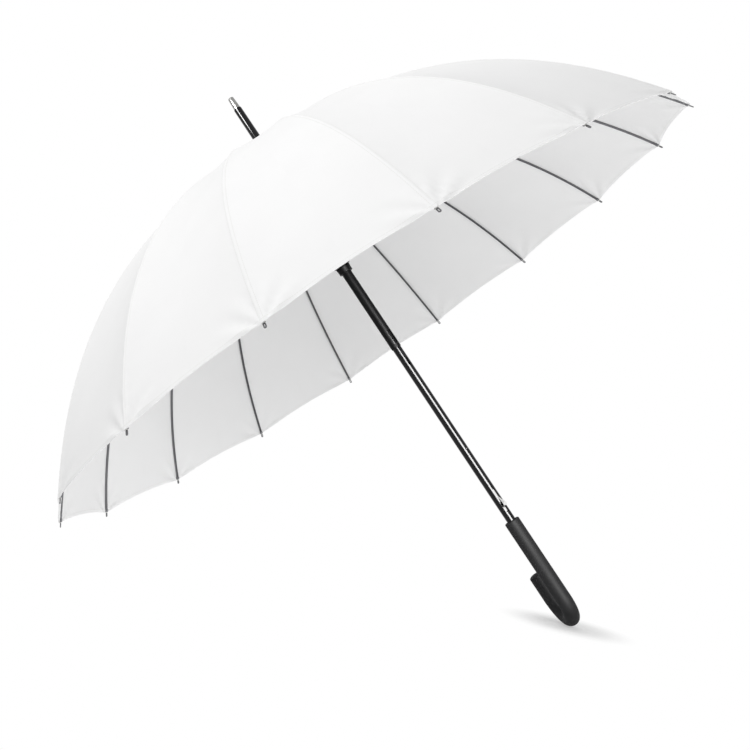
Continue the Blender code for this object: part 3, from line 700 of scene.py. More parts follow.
# Canopy: cloth from the middle of one gore over a rib to the middle of the next. Columns crowd at the seam
HALF_COLUMNS = np.array(
    [0.0, 0.005, 0.012, 0.022, 0.04, 0.07, 0.11, 0.16, 0.21, 0.27, 0.33, 0.39, 0.445, 0.5]
)
COLUMNS = np.concatenate([-HALF_COLUMNS[:0:-1], HALF_COLUMNS])
CLOTH_ROWS = np.concatenate(
    [
        np.linspace(CLOTH_START, CLOTH_END - RIM_BAND, 70),
        np.linspace(CLOTH_END - 0.9 * RIM_BAND, CLOTH_END - HEM_WIDTH - HEM_STEP, 9),
        np.linspace(CLOTH_END - HEM_WIDTH + HEM_STEP, CLOTH_END, 4),
    ]
)


def seam_line():
    """Radius and height of the cloth's underside over the rib, and the rib's direction there, row by row."""
    radius, height, along = on_rib(CLOTH_ROWS)
    lift = RIB_DEPTH / 2 + CLOTH_OFF_RIB
    lift = lift + CLOTH_LIFT_AT_CROWN * np.exp(-((CLOTH_ROWS / CLOTH_LIFT_REACH) ** 2))
    return radius - along[:, 1] * lift, height + along[:, 0] * lift, along


def cloth_surface(index):
    """Underside and upper side of the cloth over the first rib, as arrays of rows, columns and points."""
    radius, height, along = seam_line()
    share = ((CLOTH_ROWS - CLOTH_START) / (CLOTH_END - CLOTH_START))[:, None]
    across = np.abs(COLUMNS)[None, :]
    side = np.where(COLUMNS < 0, -1.0, 1.0)[None, :]
    hollow = 4 * across * (1 - across)
    r, z = radius[:, None], height[:, None]
    x = r * (1 - across) + r * math.cos(GORE_ANGLE) * across
    y = side * r * math.sin(GORE_ANGLE) * across
    points = np.stack([x, y, z + 0 * across], -1)
    out_x, out_y = math.cos(GORE_ANGLE / 2), math.sin(GORE_ANGLE / 2)
    out = np.stack([np.full_like(side, out_x), side * out_y, np.zeros_like(side)], -1)
    up = np.array([0.0, 0.0, 1.0])
    forward = out * along[:, None, 0:1] + up * along[:, None, 1:2]
    upper = up * along[:, None, 0:1] - out * along[:, None, 1:2]

    # The edge is hollow between the tips, and the cloth sags most at about two thirds of the way down
    back = RIM_SCALLOP * hollow * share**3
    drop = GORE_SAG * hollow * share * np.sin(np.pi * share)
    points = points - forward * back[..., None] - upper * drop[..., None]

    # Small puckers along the seam, and tight folds that fan out from the sewn corner
    sideways = across * 2 * r * math.sin(GORE_ANGLE / 2)
    from_rim = (CLOTH_END - CLOTH_ROWS)[:, None] + 0 * across
    beside_seam = np.exp(-((sideways / PUCKER_REACH) ** 2)) - np.exp(-((sideways / PUCKER_FREE) ** 2))
    wave = 2 * math.pi * CLOTH_ROWS[:, None] / PUCKER_PITCH + PUCKER_SHIFT * index + side
    pucker = PUCKER_HEIGHT * beside_seam * np.sin(wave)
    reach = np.hypot(sideways, from_rim)
    fan = np.arctan2(sideways, from_rim + FOLD_ROOT)
    fold = FOLD_HEIGHT * np.exp(-(((reach - FOLD_AT) / FOLD_SPREAD) ** 2))
    fold = fold * np.sin(FOLD_WAVES * fan + FOLD_SHIFT * index + FOLD_SIDE_SHIFT * side)
    fold = fold * smooth_step(fan / FOLD_FADE) * smooth_step((0.5 - across) / FOLD_FADE)
    points = points + upper * (pucker + fold)[..., None]

    # Seam allowance over the rib and turned hem at the edge make the cloth thicker
    seam = SEAM_EXTRA * smooth_step(SEAM_SLOPE * (1 - sideways / SEAM_HALF_WIDTH))
    hem = HEM_EXTRA * (from_rim < HEM_WIDTH)
    under = points - upper * (0.5 * hem)[..., None]
    over = points + upper * (CLOTH_THICKNESS + seam + 0.5 * hem)[..., None]
    uv = np.stack([side * sideways, CLOTH_ROWS[:, None] + 0 * across], -1)
    rim_uv = np.stack([side * sideways, from_rim], -1)
    return under, over, uv, rim_uv


def surface_normals(points):
    """Outward normals of a grid of points. On both side edges they lie in the mirror plane of the gore."""
    rows = np.gradient(points, axis=0)
    columns = np.gradient(points, axis=1)
    normals = np.cross(rows, columns)
    for edge, sign in ((0, -1.0), (-1, 1.0)):
        mirror = np.array([-sign * math.sin(GORE_ANGLE / 2), math.cos(GORE_ANGLE / 2), 0.0])
        normals[:, edge] -= np.outer(normals[:, edge] @ mirror, mirror)
    return normals / np.linalg.norm(normals, axis=-1, keepdims=True)


def canopy_strip(index):
    """One strip of the canopy as a thin closed sheet, with its maps and its normals."""
    under, over, uv, rim_uv = cloth_surface(index)
    rows, columns = under.shape[:2]
    count = rows * columns
    vertices = np.concatenate([over.reshape(-1, 3), under.reshape(-1, 3)])
    normals = np.concatenate([surface_normals(over).reshape(-1, 3), -surface_normals(under).reshape(-1, 3)])
    grid = np.arange(count).reshape(rows, columns)
    top = np.stack([grid[:-1, :-1], grid[1:, :-1], grid[1:, 1:], grid[:-1, 1:]], -1).reshape(-1, 4)
    bottom = top[:, ::-1] + count
    border = np.concatenate([grid[0, :], grid[1:, -1], grid[-1, -2::-1], grid[-2:0:-1, 0]])
    following = np.roll(border, -1)
    walls = np.stack([border, following, following + count, border + count], -1)
    faces = np.concatenate([top, bottom, walls])
    mesh = bpy.data.meshes.new(f"canopy_strip_{index + 1:02d}")
    mesh.from_pydata(vertices.tolist(), [], faces.tolist())
    corner_vertices = np.zeros(len(mesh.loops), int)
    mesh.loops.foreach_get("vertex_index", corner_vertices)
    for name, values in (("cloth", uv), ("rim", rim_uv)):
        layer = mesh.uv_layers.new(name=name)
        flat = np.concatenate([values.reshape(-1, 2)] * 2)[corner_vertices]
        layer.data.foreach_set("uv", flat.astype(np.float32).ravel())
    corner_normals = normals[corner_vertices]
    wall_start = 4 * (len(top) + len(bottom))
    for k, wall in enumerate(walls):
        edge = np.cross(vertices[wall[1]] - vertices[wall[0]], vertices[wall[3]] - vertices[wall[0]])
        corner_normals[wall_start + 4 * k : wall_start + 4 * k + 4] = edge / max(np.linalg.norm(edge), 1e-12)
    mesh.shade_smooth()
    mesh.normals_split_custom_set(corner_normals.tolist())
    strip = bpy.data.objects.new(mesh.name, mesh)
    scene.collection.objects.link(strip)
    area = sum(polygon.area for polygon in list(mesh.polygons)[: len(top)])
    turn = index * GORE_ANGLE
    standing(Matrix.Rotation(turn, 4, "Z"), strip)
    return strip, area


def build_canopy():
    """The whole canopy: strips that meet in the middle of each gore and ride on the ribs under them."""
    for index in range(RIB_COUNT):
        label = f"{index + 1:02d}"
        strip, area = canopy_strip(index)
        dress(strip, f"rib_{label}", PONGEE, "white_cloth")
        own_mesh(strip)


def bracket_distance():
    """Where along the rib the rivet hangs."""
    offsets = RIB_POINTS - np.array([RIVET.x, RIVET.z])
    return float(RIB_RUN[np.argmin(np.hypot(*offsets.T))])


def rib_channel():
    """Folded channel of the first rib, open on the side that looks down and inwards all along it."""
    end = RIB_LENGTH - TIP_LENGTH + TIP_SOCKET - SOCKET_PLAY
    radius, height, _ = on_rib(np.linspace(RIB_START, end, RIB_STATIONS))
    channel = drawn_bar("rib_channel_01", RIB_WIDTH, RIB_DEPTH, np.stack([radius, height], -1))
    sharp = math.radians(60)
    apply_modifier(channel, "BEVEL", width=RIB_FOLD, segments=2, limit_method="ANGLE", angle_limit=sharp)
    edit_faces(channel, lambda face: face.normal.dot(RIB_OPEN_SIDE) > 0.75)
    bpy.ops.mesh.inset(thickness=RIB_LIP)
    bpy.ops.mesh.inset(thickness=RIB_DRAFT, depth=RIB_SHEET - RIB_DEPTH)
    bpy.ops.object.mode_set(mode="OBJECT")
    return channel


def rib_tang():
    """Tang and eye that hold the rib on the notch's wire."""
    low = (TANG_START, -PLATE_HALF, -PLATE_HALF)
    tang = block("tang", low, (TANG_END, PLATE_HALF, TANG_HIGH), FINE_EDGE)
    eye = turned_piece("eye", both_ways([(EYE_RADIUS, PLATE_HALF), (EYE_BORE, PLATE_HALF)]), True, 20)
    standing(LYING, eye)
    return [standing(rib_matrix(0.0), part) for part in (tang, eye)]


def rib_bracket():
    """Bracket under the rib, tapered to a round nose, and the rivet that the stretcher turns on."""
    foot = rib_matrix(bracket_distance())
    drop = -(foot.inverted() @ RIVET).z
    low = (-BRACKET_HALF, -PLATE_HALF, -drop)
    bracket = block("bracket", low, (BRACKET_HALF, PLATE_HALF, BRACKET_HIGH))
    edit_faces(bracket, lambda face: face.normal.z < -0.5)
    bpy.ops.transform.resize(value=(BRACKET_TAPER, 1.0, 1.0), center_override=(0.0, 0.0, -drop))
    bpy.ops.object.mode_set(mode="OBJECT")
    apply_modifier(bracket, "BEVEL", width=FINE_EDGE, segments=2)
    nose = turned_piece("nose", both_ways([(BRACKET_NOSE, PLATE_HALF)]), False, 24)
    head_low = RIVET_REACH + RIVET_ROUND
    head_high = head_low + FINE_EDGE
    half = [(RIVET_SHANK, RIVET_REACH), (RIVET_HEAD, head_low)]
    half += [(RIVET_HEAD, head_high), (RIVET_CROWN, head_high + RIVET_ROUND)]
    pin = turned_piece("pin", both_ways(half), False, 16)
    for part in (nose, pin):
        standing(Matrix.Translation((0.0, 0.0, -drop)) @ LYING, part)
    return [standing(foot, part) for part in (bracket, nose, pin)]


def rib_piece():
    """One rib: folded channel, tang with its eye at the notch, and the bracket that carries the rivet."""
    rib = joined([rib_channel(), *rib_tang(), *rib_bracket()])
    shade(rib, 40)
    return rib


def tip_piece():
    """Rib tip: pressed sleeve over the rib's end, and a flat long eye beyond the cloth's corner."""
    low = (0.0, -TIP_HALF_WIDTH, -TIP_HALF_DEPTH)
    sleeve = block("tip_eye_01", low, (TIP_SLEEVE, TIP_HALF_WIDTH, TIP_HALF_DEPTH), TIP_ROUND)
    sleeve.data.materials.append(RIB_STEEL)
    low = (TIP_SLEEVE - NECK_LAP, -NECK_HALF, -TIP_FLAT_HALF)
    neck = block("neck", low, (TIP_EYE_AT - 2 * TIP_EYE_BORE, NECK_HALF, TIP_FLAT_HALF), FINE_EDGE)
    half = [(TIP_EYE_RADIUS, TIP_FLAT_HALF - FINE_EDGE), (TIP_EYE_RADIUS - FINE_EDGE, TIP_FLAT_HALF)]
    eye = turned_piece("eye", both_ways([*half, (TIP_EYE_BORE, TIP_FLAT_HALF)]), True, 28)
    edit_faces(eye, lambda face: face.center.x > 0)
    bpy.ops.transform.translate(value=(TIP_EYE_STRETCH, 0.0, 0.0))
    bpy.ops.object.mode_set(mode="OBJECT")
    standing(Matrix.Translation((TIP_EYE_AT, 0.0, 0.0)), eye)
    for part in (neck, eye):
        part.data.materials.append(TIP_STEEL)
    tip = joined([sleeve, neck, eye])
    standing(rib_matrix(RIB_LENGTH - TIP_LENGTH), tip)
    shade(tip, 40)
    return tip


def thread_ties():
    """Thread wound round the tip's neck, where it ties the cloth's corner to the rib."""
    ties = []
    corner = rib_matrix(RIB_LENGTH - TIP_LENGTH + TIE_AT)
    for turn in range(TIE_LOOPS):
        bpy.ops.object.select_all(action="DESELECT")
        bpy.ops.mesh.primitive_torus_add(
            major_radius=TIE_WIDE, minor_radius=TIE_THREAD, major_segments=20, minor_segments=6
        )
        loop = named("corner_tie_01")
        standing(Matrix.Diagonal((TIE_HIGH / TIE_WIDE, 1.0, 1.0, 1.0)), loop)
        along = TIE_PITCH * (turn - (TIE_LOOPS - 1) / 2)
        spot = Matrix.Translation((along, 0.0, 0.0)) @ Matrix.Rotation(math.radians(90), 4, "Y")
        standing(corner @ spot, loop)
        ties.append(loop)
    tie = joined(ties)
    shade(tie, 60)
    return tie


def build_ribs():
    """All ribs with their tips and ties, copied from the first."""
    first = {"rib_channel": rib_piece(), "tip_eye": tip_piece(), "corner_tie": thread_ties()}
    for index in range(RIB_COUNT):
        label = f"{index + 1:02d}"
        for kind, look, slot, node in (
            ("rib_channel", RIB_STEEL, "rib_steel", "rib"),
            ("tip_eye", None, "rib_steel", "rib_tip"),
            ("corner_tie", THREAD, "white_cloth", None),
        ):
            piece = first[kind]
            if index:
                piece = copied(first[kind], f"{kind}_{label}", index * GORE_ANGLE)
                piece.parent = None
            nodes = [f"{node}_{label}"] if node else []
            dress(piece, f"rib_{label}", look, slot, *nodes)


def spring_strip(name, look, nose_z, nose_reach, upper, lower, nose_spread):
    """Leaf spring: a strip of sheet that hangs from its foot and is bent out to a rounded nose.

    upper and lower are the heights of the ramps above and below the nose. nose_spread is how much wider it is
    than the rest of the strip.
    """
    face = SHAFT_BORE - SPRING_OFF_WALL
    foot = SPRING_FOOT[name].z
    nose = SHAFT_RADIUS + nose_reach
    swell = face + SWELL_OUT * (nose - face)
    line = rounded(
        [
            (SHAFT_RADIUS, foot),
            (face + FOOT_IN, foot),
            (face, foot - FOOT_DOWN),
            (face, foot - FOOT_STRAIGHT),
            (face, nose_z + upper + SPRING_RUN_OUT),
            (face + SPRING_LEAN, nose_z + upper),
            (swell, nose_z + SWELL_AT * upper),
            (nose, nose_z + NOSE_ABOVE),
            (nose, nose_z - NOSE_BELOW),
            (swell, nose_z - SWELL_AT * lower - SWELL_DROP),
            (face + SPRING_LEAN, nose_z - lower),
            (face, nose_z - lower - SPRING_RUN_OUT),
            (face, nose_z - lower - SPRING_TAIL),
        ]
    )
    spread = 1 + nose_spread * np.exp(-(((line[:, 1] - nose_z) / NOSE_BROAD) ** 2))
    piece = drawn_bar(f"{name}_strip", SPRING_WIDTH, SPRING_SHEET, line, spread)
    standing(Matrix.Rotation(SPRING_AZIMUTH, 4, "Z"), piece)
    sharp = math.radians(50)
    apply_modifier(piece, "BEVEL", width=SPRING_EDGE, segments=2, limit_method="ANGLE", angle_limit=sharp)
    shade(piece, 50)
    dress(piece, name, look, "bright_steel", name)


def spring_slots(piece, places, reach):
    """Cuts slots for the leaf springs through a tube's wall, each at its height."""
    for height, (half, below, above) in places:
        cutter = block("cutter", (SHAFT_BORE / 2, -half, height - below), (reach, half, height + above))
        standing(Matrix.Rotation(SPRING_AZIMUTH, 4, "Z"), cutter)
        cut(piece, cutter)


def build_shaft():
    """Shaft tube with its slots, the springs in it and the stop pin."""
    profile = [(SHAFT_BORE, SHAFT_LOW), (SHAFT_RADIUS, SHAFT_LOW)]
    profile += [(SHAFT_RADIUS, SHAFT_HIGH), (SHAFT_BORE, SHAFT_HIGH)]
    tube = turned_piece("shaft_black", profile, True)
    places = [(HAND_NOSE_Z, HAND_SLOT), (TOP_NOSE_Z, TOP_SLOT)]
    places += [(HAND_NOSE_Z, slot) for slot in HUMP_SLOTS]
    places += [(foot.z, FOOT_SLOT) for foot in SPRING_FOOT.values()]
    spring_slots(tube, places, 2 * SHAFT_RADIUS)
    shade(tube, 30)
    dress(tube, "shaft", BLACK_ENAMEL, "black_tube", "shaft_tube")
    spring_strip("hand_spring", BRIGHT_NICKEL, HAND_NOSE_Z, HAND_REACH, HAND_RAMP, SPRING_STEEP, HAND_SPREAD)
    spring_strip("top_spring", BLUED_STEEL, TOP_NOSE_Z, TOP_REACH, SPRING_STEEP, TOP_RAMP, 0.0)
    low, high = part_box("stop_pin")
    radius = (high.z - low.z) / 2
    profile = both_ways([(radius, high.y - STOP_EDGE), (STOP_CROWN * radius, high.y)])
    pin = turned_piece("stop_rivet", profile, False, 20)
    standing(Matrix.Translation((0.0, 0.0, (low.z + high.z) / 2)) @ LYING, pin)
    shade(pin)
    dress(pin, "shaft", BRIGHT_NICKEL, "bright_steel", "stop_pin")


def runner_profile(flange_low, flange_high):
    """Outline of the runner: sleeve, collar, flange with a rounded top, and a short neck."""
    collar_low = flange_low - COLLAR_HEIGHT
    profile = [
        (SLIDE_RADIUS, RUNNER_LOW),
        (SLEEVE_RADIUS - MOULD_EDGE, RUNNER_LOW),
        (SLEEVE_RADIUS, RUNNER_LOW + 1.5 * MOULD_EDGE),
        (SLEEVE_RADIUS, collar_low - 3 * MOULD_EDGE),
        (SLEEVE_RADIUS + 2 * MOULD_EDGE, collar_low),
        (COLLAR_RADIUS - 2.5 * MOULD_EDGE, collar_low),
        (COLLAR_RADIUS - 0.5 * MOULD_EDGE, collar_low + MOULD_EDGE),
        (COLLAR_RADIUS, collar_low + 3 * MOULD_EDGE),
        (COLLAR_RADIUS, flange_low - 5 * MOULD_EDGE),
        (FLANGE_RADIUS, flange_low + 2 * MOULD_EDGE),
        (FLANGE_RADIUS, flange_high - CAP_ROUND),
    ]
    for angle in arc(15, 90, 6):
        inwards, down = CAP_ROUND * (1 - math.cos(angle)), CAP_ROUND * (1 - math.sin(angle))
        profile.append((FLANGE_RADIUS - inwards, flange_high - down))
    return profile + [
        (SLEEVE_RADIUS, flange_high),
        (SLEEVE_RADIUS, RUNNER_HIGH - MOULD_EDGE),
        (SLEEVE_RADIUS - MOULD_EDGE, RUNNER_HIGH),
        (SLIDE_RADIUS, RUNNER_HIGH),
    ]


def build_runner():
    """Runner: moulded sleeve and collar, a flange slotted for the stretchers, and the wire in it."""
    pivot = RUNNER_HIGH - RUNNER_HEAD - FLANGE_HEIGHT / 2
    flange_low = pivot - FLANGE_HEIGHT / 2
    runner = turned_piece("runner_moulded", runner_profile(flange_low, pivot + FLANGE_HEIGHT / 2), True)
    slots = []
    for index in range(RIB_COUNT):
        low = (SLOT_FLOOR, -SLOT_WIDTH / 2, flange_low + MOULD_EDGE)
        slot = block("slot", low, (SLOT_REACH, SLOT_WIDTH / 2, RUNNER_HIGH))
        standing(Matrix.Rotation(index * GORE_ANGLE, 4, "Z"), slot)
        slots.append(slot)
    cut(runner, joined(slots))
    travel = JOINTS["runner_slide"]["range_m"][1]
    spring_slots(runner, [(HAND_NOSE_Z + travel, RUNNER_SLOT)], 2 * SLEEVE_RADIUS)
    shade(runner, 32)
    dress(runner, "runner", BLACK_ABS, "black_plastic", "runner")
    bpy.ops.object.select_all(action="DESELECT")
    sides = {"major_segments": 96, "minor_segments": 8}
    bpy.ops.mesh.primitive_torus_add(
        major_radius=HINGE.x, minor_radius=WIRE_RADIUS, location=(0, 0, pivot), **sides
    )
    wire = named("runner_wire")
    bpy.ops.object.transform_apply(location=True, rotation=True, scale=True)
    shade(wire, 60)
    dress(wire, "runner", BLUED_STEEL, "bright_steel")


def build_ferrule():
    """Ferrule, its bright cap and the washer that presses the cloth onto the notch."""
    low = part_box("ferrule")[0].z
    step = SHAFT_HIGH + FERRULE_SEAT
    collar_high = step + FERRULE_COLLAR
    seat = CAP_LOW - FERRULE_SEAT
    body = turned_piece(
        "ferrule_black",
        [
            (PLUG_RADIUS - PLUG_LEAD, low),
            (PLUG_RADIUS, low + PLUG_LEAD_LENGTH),
            (PLUG_RADIUS, step),
            (FERRULE_RADIUS - FERRULE_EDGE, step),
            (FERRULE_RADIUS, step + 1.5 * FERRULE_EDGE),
            (FERRULE_RADIUS, collar_high),
            (FERRULE_RADIUS - FERRULE_EDGE, collar_high + 2 * FERRULE_EDGE),
            (FERRULE_TAPER, seat - 1.5 * FERRULE_EDGE),
            (FERRULE_TAPER - 1.5 * FERRULE_EDGE, seat),
            (STUD_RADIUS, seat),
            (STUD_RADIUS, CAP_LOW + STUD_LENGTH),
        ],
    )
    shade(body, 30)
    dress(body, "shaft", BLACK_ENAMEL, "black_plastic", "ferrule")

    profile = [
        (CAP_BORE, CAP_LOW + CAP_DEPTH),
        (CAP_BORE, CAP_LOW),
        (CAP_RADIUS - FERRULE_EDGE, CAP_LOW),
        (CAP_RADIUS, CAP_LOW + 1.5 * FERRULE_EDGE),
        (CAP_RADIUS, CAP_LOW + CAP_FOOT),
    ]
    for groove_low, groove_high in CAP_GROOVES:
        profile += [(CAP_RING, CAP_LOW + groove_low - GROOVE_EDGE), (CAP_GROOVE, CAP_LOW + groove_low)]
        profile += [(CAP_GROOVE, CAP_LOW + groove_high), (CAP_RING, CAP_LOW + groove_high + GROOVE_EDGE)]
    profile += [(radius, FERRULE_HIGH - down) for radius, down in (CAP_SHOULDER, CAP_BROW, (CAP_BORE, 0.0))]
    cap = turned_piece("ferrule_bright", profile)
    shade(cap, 30)
    dress(cap, "shaft", SATIN_NICKEL, "bright_steel", "ferrule_cap")

    washer = turned_piece(
        "crown_disc",
        [
            (SLIDE_RADIUS, WASHER_LOW),
            (WASHER_RADIUS - WASHER_EDGE, WASHER_LOW),
            (WASHER_RADIUS, WASHER_LOW + WASHER_EDGE),
            (WASHER_RADIUS - WASHER_EDGE, WASHER_HIGH - WASHER_EDGE / 3),
            (WASHER_FLAT, WASHER_HIGH),
            (SLIDE_RADIUS, WASHER_HIGH),
        ],
        True,
    )
    shade(washer, 40)
    dress(washer, "shaft", BLACK_ABS, "black_plastic", "crown_washer")


def rosette_points():
    """Lower and upper layer of the rosette, ring by ring, on the seams and pressed down under the washer."""
    seam_radius, seam_height, _ = seam_line()
    seam_height = seam_height + CLOTH_THICKNESS + SEAM_EXTRA
    points = []
    for raised in ROSETTE_LAYERS:
        for ring in range(ROSETTE_RINGS):
            share = ring / (ROSETTE_RINGS - 1)
            r = ROSETTE_INNER + (ROSETTE_OUTER - ROSETTE_INNER) * share
            z = float(np.interp(r, seam_radius, seam_height)) + raised
            rise = PLEAT_HEIGHT * math.sin(math.pi * min(1.0, PLEAT_RISE * share))
            for spoke in range(ROSETTE_SPOKES):
                a = 2 * math.pi * spoke / ROSETTE_SPOKES
                height = z + rise * (1 + math.cos(ROSETTE_PLEATS * a))
                if r < PRESSED_RADIUS:
                    height = min(height, WASHER_LOW - PRESSED_GAP)
                reach = r * (1 - EDGE_WAVE * share * (1 + math.cos(RIB_COUNT * a)))
                points.append((reach * math.cos(a), reach * math.sin(a), height))
    return points


def rosette_faces():
    """Faces of both layers of the rosette, and of its inner and outer edge."""
    count = ROSETTE_RINGS * ROSETTE_SPOKES
    faces = []
    for ring in range(ROSETTE_RINGS - 1):
        here, beyond = ring * ROSETTE_SPOKES, (ring + 1) * ROSETTE_SPOKES
        for spoke in range(ROSETTE_SPOKES):
            following = (spoke + 1) % ROSETTE_SPOKES
            quad = [here + spoke, beyond + spoke, beyond + following, here + following]
            faces.append([k + count for k in quad])
            faces.append(quad[::-1])
    for ring in (0, ROSETTE_RINGS - 1):
        for spoke in range(ROSETTE_SPOKES):
            a = ring * ROSETTE_SPOKES + spoke
            b = ring * ROSETTE_SPOKES + (spoke + 1) % ROSETTE_SPOKES
            faces.append([a, b, b + count, a + count])
    return faces


def build_rosette():
    """Round patch of the same cloth on top of the seams, gathered in small pleats round the shaft."""
    mesh = bpy.data.meshes.new("crown_rosette")
    mesh.from_pydata(rosette_points(), [], rosette_faces())
    rosette = bpy.data.objects.new("crown_rosette", mesh)
    scene.collection.objects.link(rosette)
    cloth_map, rim_map = (mesh.uv_layers.new(name=name).name for name in ("cloth", "rim"))
    for loop in mesh.loops:
        place = mesh.vertices[loop.vertex_index].co
        reach = math.hypot(place.x, place.y)
        mesh.uv_layers[cloth_map].data[loop.index].uv = (place.x + CLEAR_OF_SEAM, place.y)
        mesh.uv_layers[rim_map].data[loop.index].uv = (reach, ROSETTE_OUTER - reach + CLEAR_OF_HEM)
    outward(rosette)
    shade(rosette, 60)
    dress(rosette, "shaft", PONGEE, "white_cloth", "canopy")


def build_handle():
    """Crook handle: socket, rounded top, straight grip, bend and hook, and the end cap."""
    bend = HANDLE_HIGH - HANDLE_STRAIGHT
    steps = [
        (SLIDE_RADIUS, HANDLE_HIGH - HANDLE_SOCKET),
        (SLIDE_RADIUS, HANDLE_HIGH - SOCKET_CHAMFER),
        (SLIDE_RADIUS + SOCKET_CHAMFER, HANDLE_HIGH),
    ]
    for angle in arc(0, 90, 7):
        inwards, down = HANDLE_EDGE * (1 - math.sin(angle)), HANDLE_EDGE * (1 - math.cos(angle))
        steps.append((HANDLE_RADIUS - inwards, HANDLE_HIGH - down))
    steps.append((HANDLE_RADIUS, bend))
    handle = extruded_circle("handle_crook", steps, HANDLE_SIDES, "NGON")
    bpy.ops.mesh.spin(steps=CROOK_STEPS, angle=-math.pi, center=(0, CROOK_RADIUS, bend), axis=(1, 0, 0))
    bpy.ops.mesh.extrude_region_move(TRANSFORM_OT_translate={"value": (0, 0, HOOK_LENGTH)})
    bpy.ops.object.mode_set(mode="OBJECT")
    outward(handle)
    shade(handle, 35)
    dress(handle, "shaft", SOFT_TOUCH, "grip", "handle_grip")
    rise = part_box("handle_end_cap")[1].z - bend - HOOK_LENGTH
    dome = [(HANDLE_RADIUS - DOME_LEAD, DOME_GAP), (HANDLE_RADIUS, DOME_SEAT)]
    for angle in arc(10.5, 84, 8):
        dome.append((HANDLE_RADIUS * math.cos(angle), DOME_SEAT + (rise - DOME_SEAT) * math.sin(angle)))
    cap = turned_piece("handle_dome", dome)
    standing(Matrix.Translation((0, 2 * CROOK_RADIUS, bend + HOOK_LENGTH)), cap)
    shade(cap, 35)
    dress(cap, "shaft", SOFT_TOUCH, "grip", "handle_end_cap")


def finish_solids():
    """Solids whose own shape is right keep it and get their finish."""
    for start, look in (("stretcher", RIB_STEEL), ("top_notch", BLACK_ABS)):
        for name, node in frame["nodes"].items():
            if name.startswith(start):
                node.data.materials.clear()
                node.data.materials.append(look)


def crook_low(up):
    """The lowest point of the crook's outside for an upward direction."""
    bend = HANDLE_HIGH - HANDLE_STRAIGHT
    angles = arc(0, 180, 91)
    line = [Vector((0, CROOK_RADIUS * (1 - math.cos(a)), bend - CROOK_RADIUS * math.sin(a))) for a in angles]
    return min(line, key=lambda point: point.dot(up)) - up * HANDLE_RADIUS


def floor_frame():
    """The ground that the umbrella rests on: through two rib tips and the bottom of the crook."""
    angles = [rib * GORE_ANGLE for rib in RESTING_RIBS]
    tips = [Vector((RIM_RADIUS * math.cos(a), RIM_RADIUS * math.sin(a), RIM_Z)) for a in angles]
    up = CAMERA_UP.copy()
    for _ in range(8):
        rest = crook_low(up)
        normal = (tips[1] - tips[0]).cross(rest - tips[0]).normalized()
        up = normal if normal.dot(CAMERA_UP) > 0 else -normal
    return crook_low(up) - up * FLOOR_GAP, up


def seen_as_backdrop(material):
    """1 for rays from the camera, from gloss and through glass, which see a white backdrop, and else 0."""
    path = add_node(material, "ShaderNodeLightPath")
    direct = {0: path.outputs["Is Camera Ray"], 1: path.outputs["Is Glossy Ray"]}
    seen = add_node(material, "ShaderNodeMath", direct, operation="MAXIMUM")
    through = {0: seen.outputs[0], 1: path.outputs["Is Transmission Ray"]}
    return add_node(material, "ShaderNodeMath", through, operation="MAXIMUM").outputs[0]


def floor_material(spot):
    """Plain white ground that keeps the soft shadow under the crook, and shows on its upper side only."""
    material = bpy.data.materials.new("white_ground")
    material.use_nodes = True
    material.node_tree.nodes.clear()
    geometry = add_node(material, "ShaderNodeNewGeometry")
    place = add_node(material, "ShaderNodeTexCoord")
    from_spot = {0: place.outputs["Object"], 1: spot}
    away = add_node(material, "ShaderNodeVectorMath", from_spot, operation="DISTANCE")
    fade = {"From Min": SHADOW_FULL, "From Max": SHADOW_END, "To Min": 1.0, "To Max": 0.0}
    fade["Value"] = away.outputs["Value"]
    near = add_node(material, "ShaderNodeMapRange", fade, interpolation_type="SMOOTHSTEP")
    glow = add_node(material, "ShaderNodeEmission", {"Color": linear("FFFFFF"), "Strength": 1.0})
    diffuse = add_node(material, "ShaderNodeBsdfDiffuse", {"Color": linear("D0D0D0")})
    soft_glow = add_node(material, "ShaderNodeEmission", {"Color": linear("FFFFFF"), "Strength": FLOOR_GLOW})
    shaded = add_node(material, "ShaderNodeAddShader", {0: diffuse.outputs[0], 1: soft_glow.outputs[0]})
    by_shadow = {0: near.outputs["Result"], 1: glow.outputs[0], 2: shaded.outputs[0]}
    shown = add_node(material, "ShaderNodeMixShader", by_shadow)
    bounce = add_node(material, "ShaderNodeBsdfDiffuse", {"Color": linear("F2F2F2")})
    by_ray = {0: seen_as_backdrop(material), 1: bounce.outputs[0], 2: shown.outputs[0]}
    lit = add_node(material, "ShaderNodeMixShader", by_ray)
    clear = add_node(material, "ShaderNodeBsdfTransparent")
    by_side = {0: geometry.outputs["Backfacing"], 1: lit.outputs[0], 2: clear.outputs[0]}
    ground = add_node(material, "ShaderNodeMixShader", by_side)
    add_node(material, "ShaderNodeOutputMaterial", {"Surface": ground.outputs[0]})
    return material


def build_floor():
    """Patch of ground under the crook. It is white to the camera, as the backdrop beyond it is."""
    point, up = floor_frame()
    turn = up.to_track_quat("Z", "Y").to_matrix().to_4x4()
    bpy.ops.object.select_all(action="DESELECT")
    bpy.ops.mesh.primitive_plane_add(size=FLOOR_SIZE)
    floor = named("ground")
    standing(Matrix.Translation(point) @ turn, floor)
    floor.data.materials.append(floor_material(point))


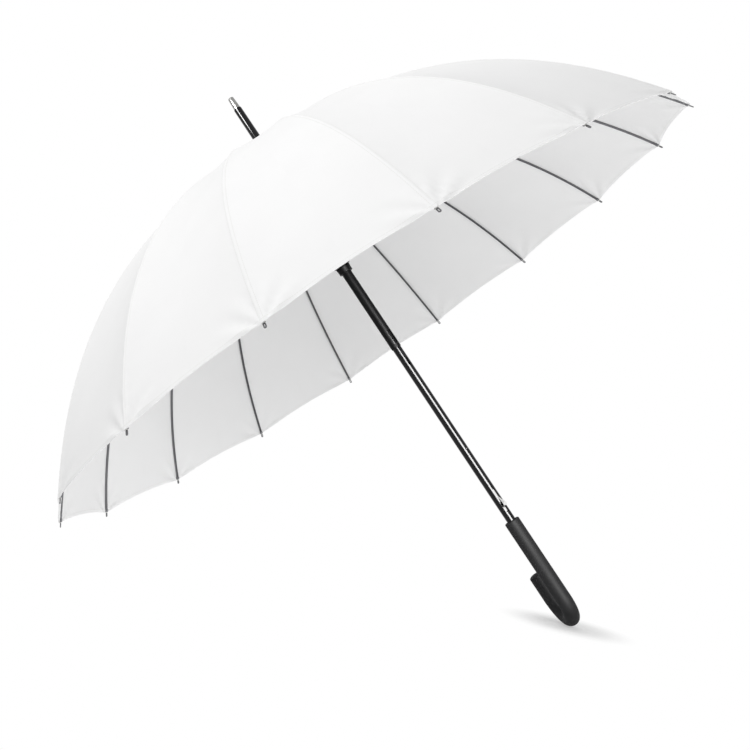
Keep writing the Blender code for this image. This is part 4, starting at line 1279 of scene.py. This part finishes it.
def build_backdrop():
    """White surroundings, which light the object less than they show."""
    world = bpy.data.worlds.new("studio")
    world.use_nodes = True
    scene.world = world
    world.node_tree.nodes.clear()
    levels = {"Value": seen_as_backdrop(world), "To Min": WORLD_LIGHT, "To Max": 1.0}
    strength = add_node(world, "ShaderNodeMapRange", levels)
    white = {"Color": linear("FFFFFF"), "Strength": strength.outputs["Result"]}
    backdrop = add_node(world, "ShaderNodeBackground", white)
    add_node(world, "ShaderNodeOutputWorld", {"Surface": backdrop.outputs[0]})


def area_light(name, azimuth, distance, height, aim, wide, high, watts):
    """A soft rectangular lamp beside the shaft that looks at a height on its axis."""
    data = bpy.data.lights.new(name, "AREA")
    data.shape = "RECTANGLE"
    data.size = wide
    data.size_y = high
    data.energy = watts
    lamp = bpy.data.objects.new(name, data)
    turn = math.radians(azimuth)
    lamp.location = (distance * math.cos(turn), distance * math.sin(turn), height)
    lamp.rotation_mode = "QUATERNION"
    lamp.rotation_quaternion = (Vector((0.0, 0.0, aim)) - lamp.location).to_track_quat("-Z", "Y")
    scene.collection.objects.link(lamp)
    return lamp


def lit_only(lamp, *names):
    """Keeps a lamp's light to the named pieces."""
    group = bpy.data.collections.new(f"lit_by_{lamp.name}")
    for name in names:
        group.objects.link(bpy.data.objects[name])
    lamp.light_linking.receiver_collection = group


def build_light():
    """Even studio light, and two strips for the lights on the black pieces.

    The key lamp stands high on the camera's side, the front lamp models the gores that face it, and the
    fill lamp opens up the canopy's underside from below. A tall strip draws the lights on shaft, runner and
    handle, and a smaller one those on the ferrule.
    """
    build_backdrop()
    for name, values in SOFT_BOXES.items():
        area_light(name, *values).visible_glossy = False
    for name, values in STRIPS.items():
        strip = area_light(name, *values)
        strip.visible_diffuse = False
        lit_only(strip, *LIT_BY_STRIP[name])


def build_camera():
    """Camera at the photograph's place, with the photograph's lens."""
    data = bpy.data.cameras.new("camera")
    data.lens = CAMERA_LENS
    data.sensor_width = CAMERA_SENSOR
    data.shift_x = CAMERA_SHIFT
    camera = bpy.data.objects.new("camera", data)
    back = CAMERA_RIGHT.cross(CAMERA_UP)
    turn = Matrix((CAMERA_RIGHT, CAMERA_UP, back)).transposed().to_4x4()
    camera.matrix_world = Matrix.Translation(CAMERA_AT) @ turn
    scene.collection.objects.link(camera)
    scene.camera = camera


build_camera()
build_ribs()
build_canopy()
build_rosette()
build_shaft()
build_runner()
build_ferrule()
build_handle()
finish_solids()
build_floor()
build_light()
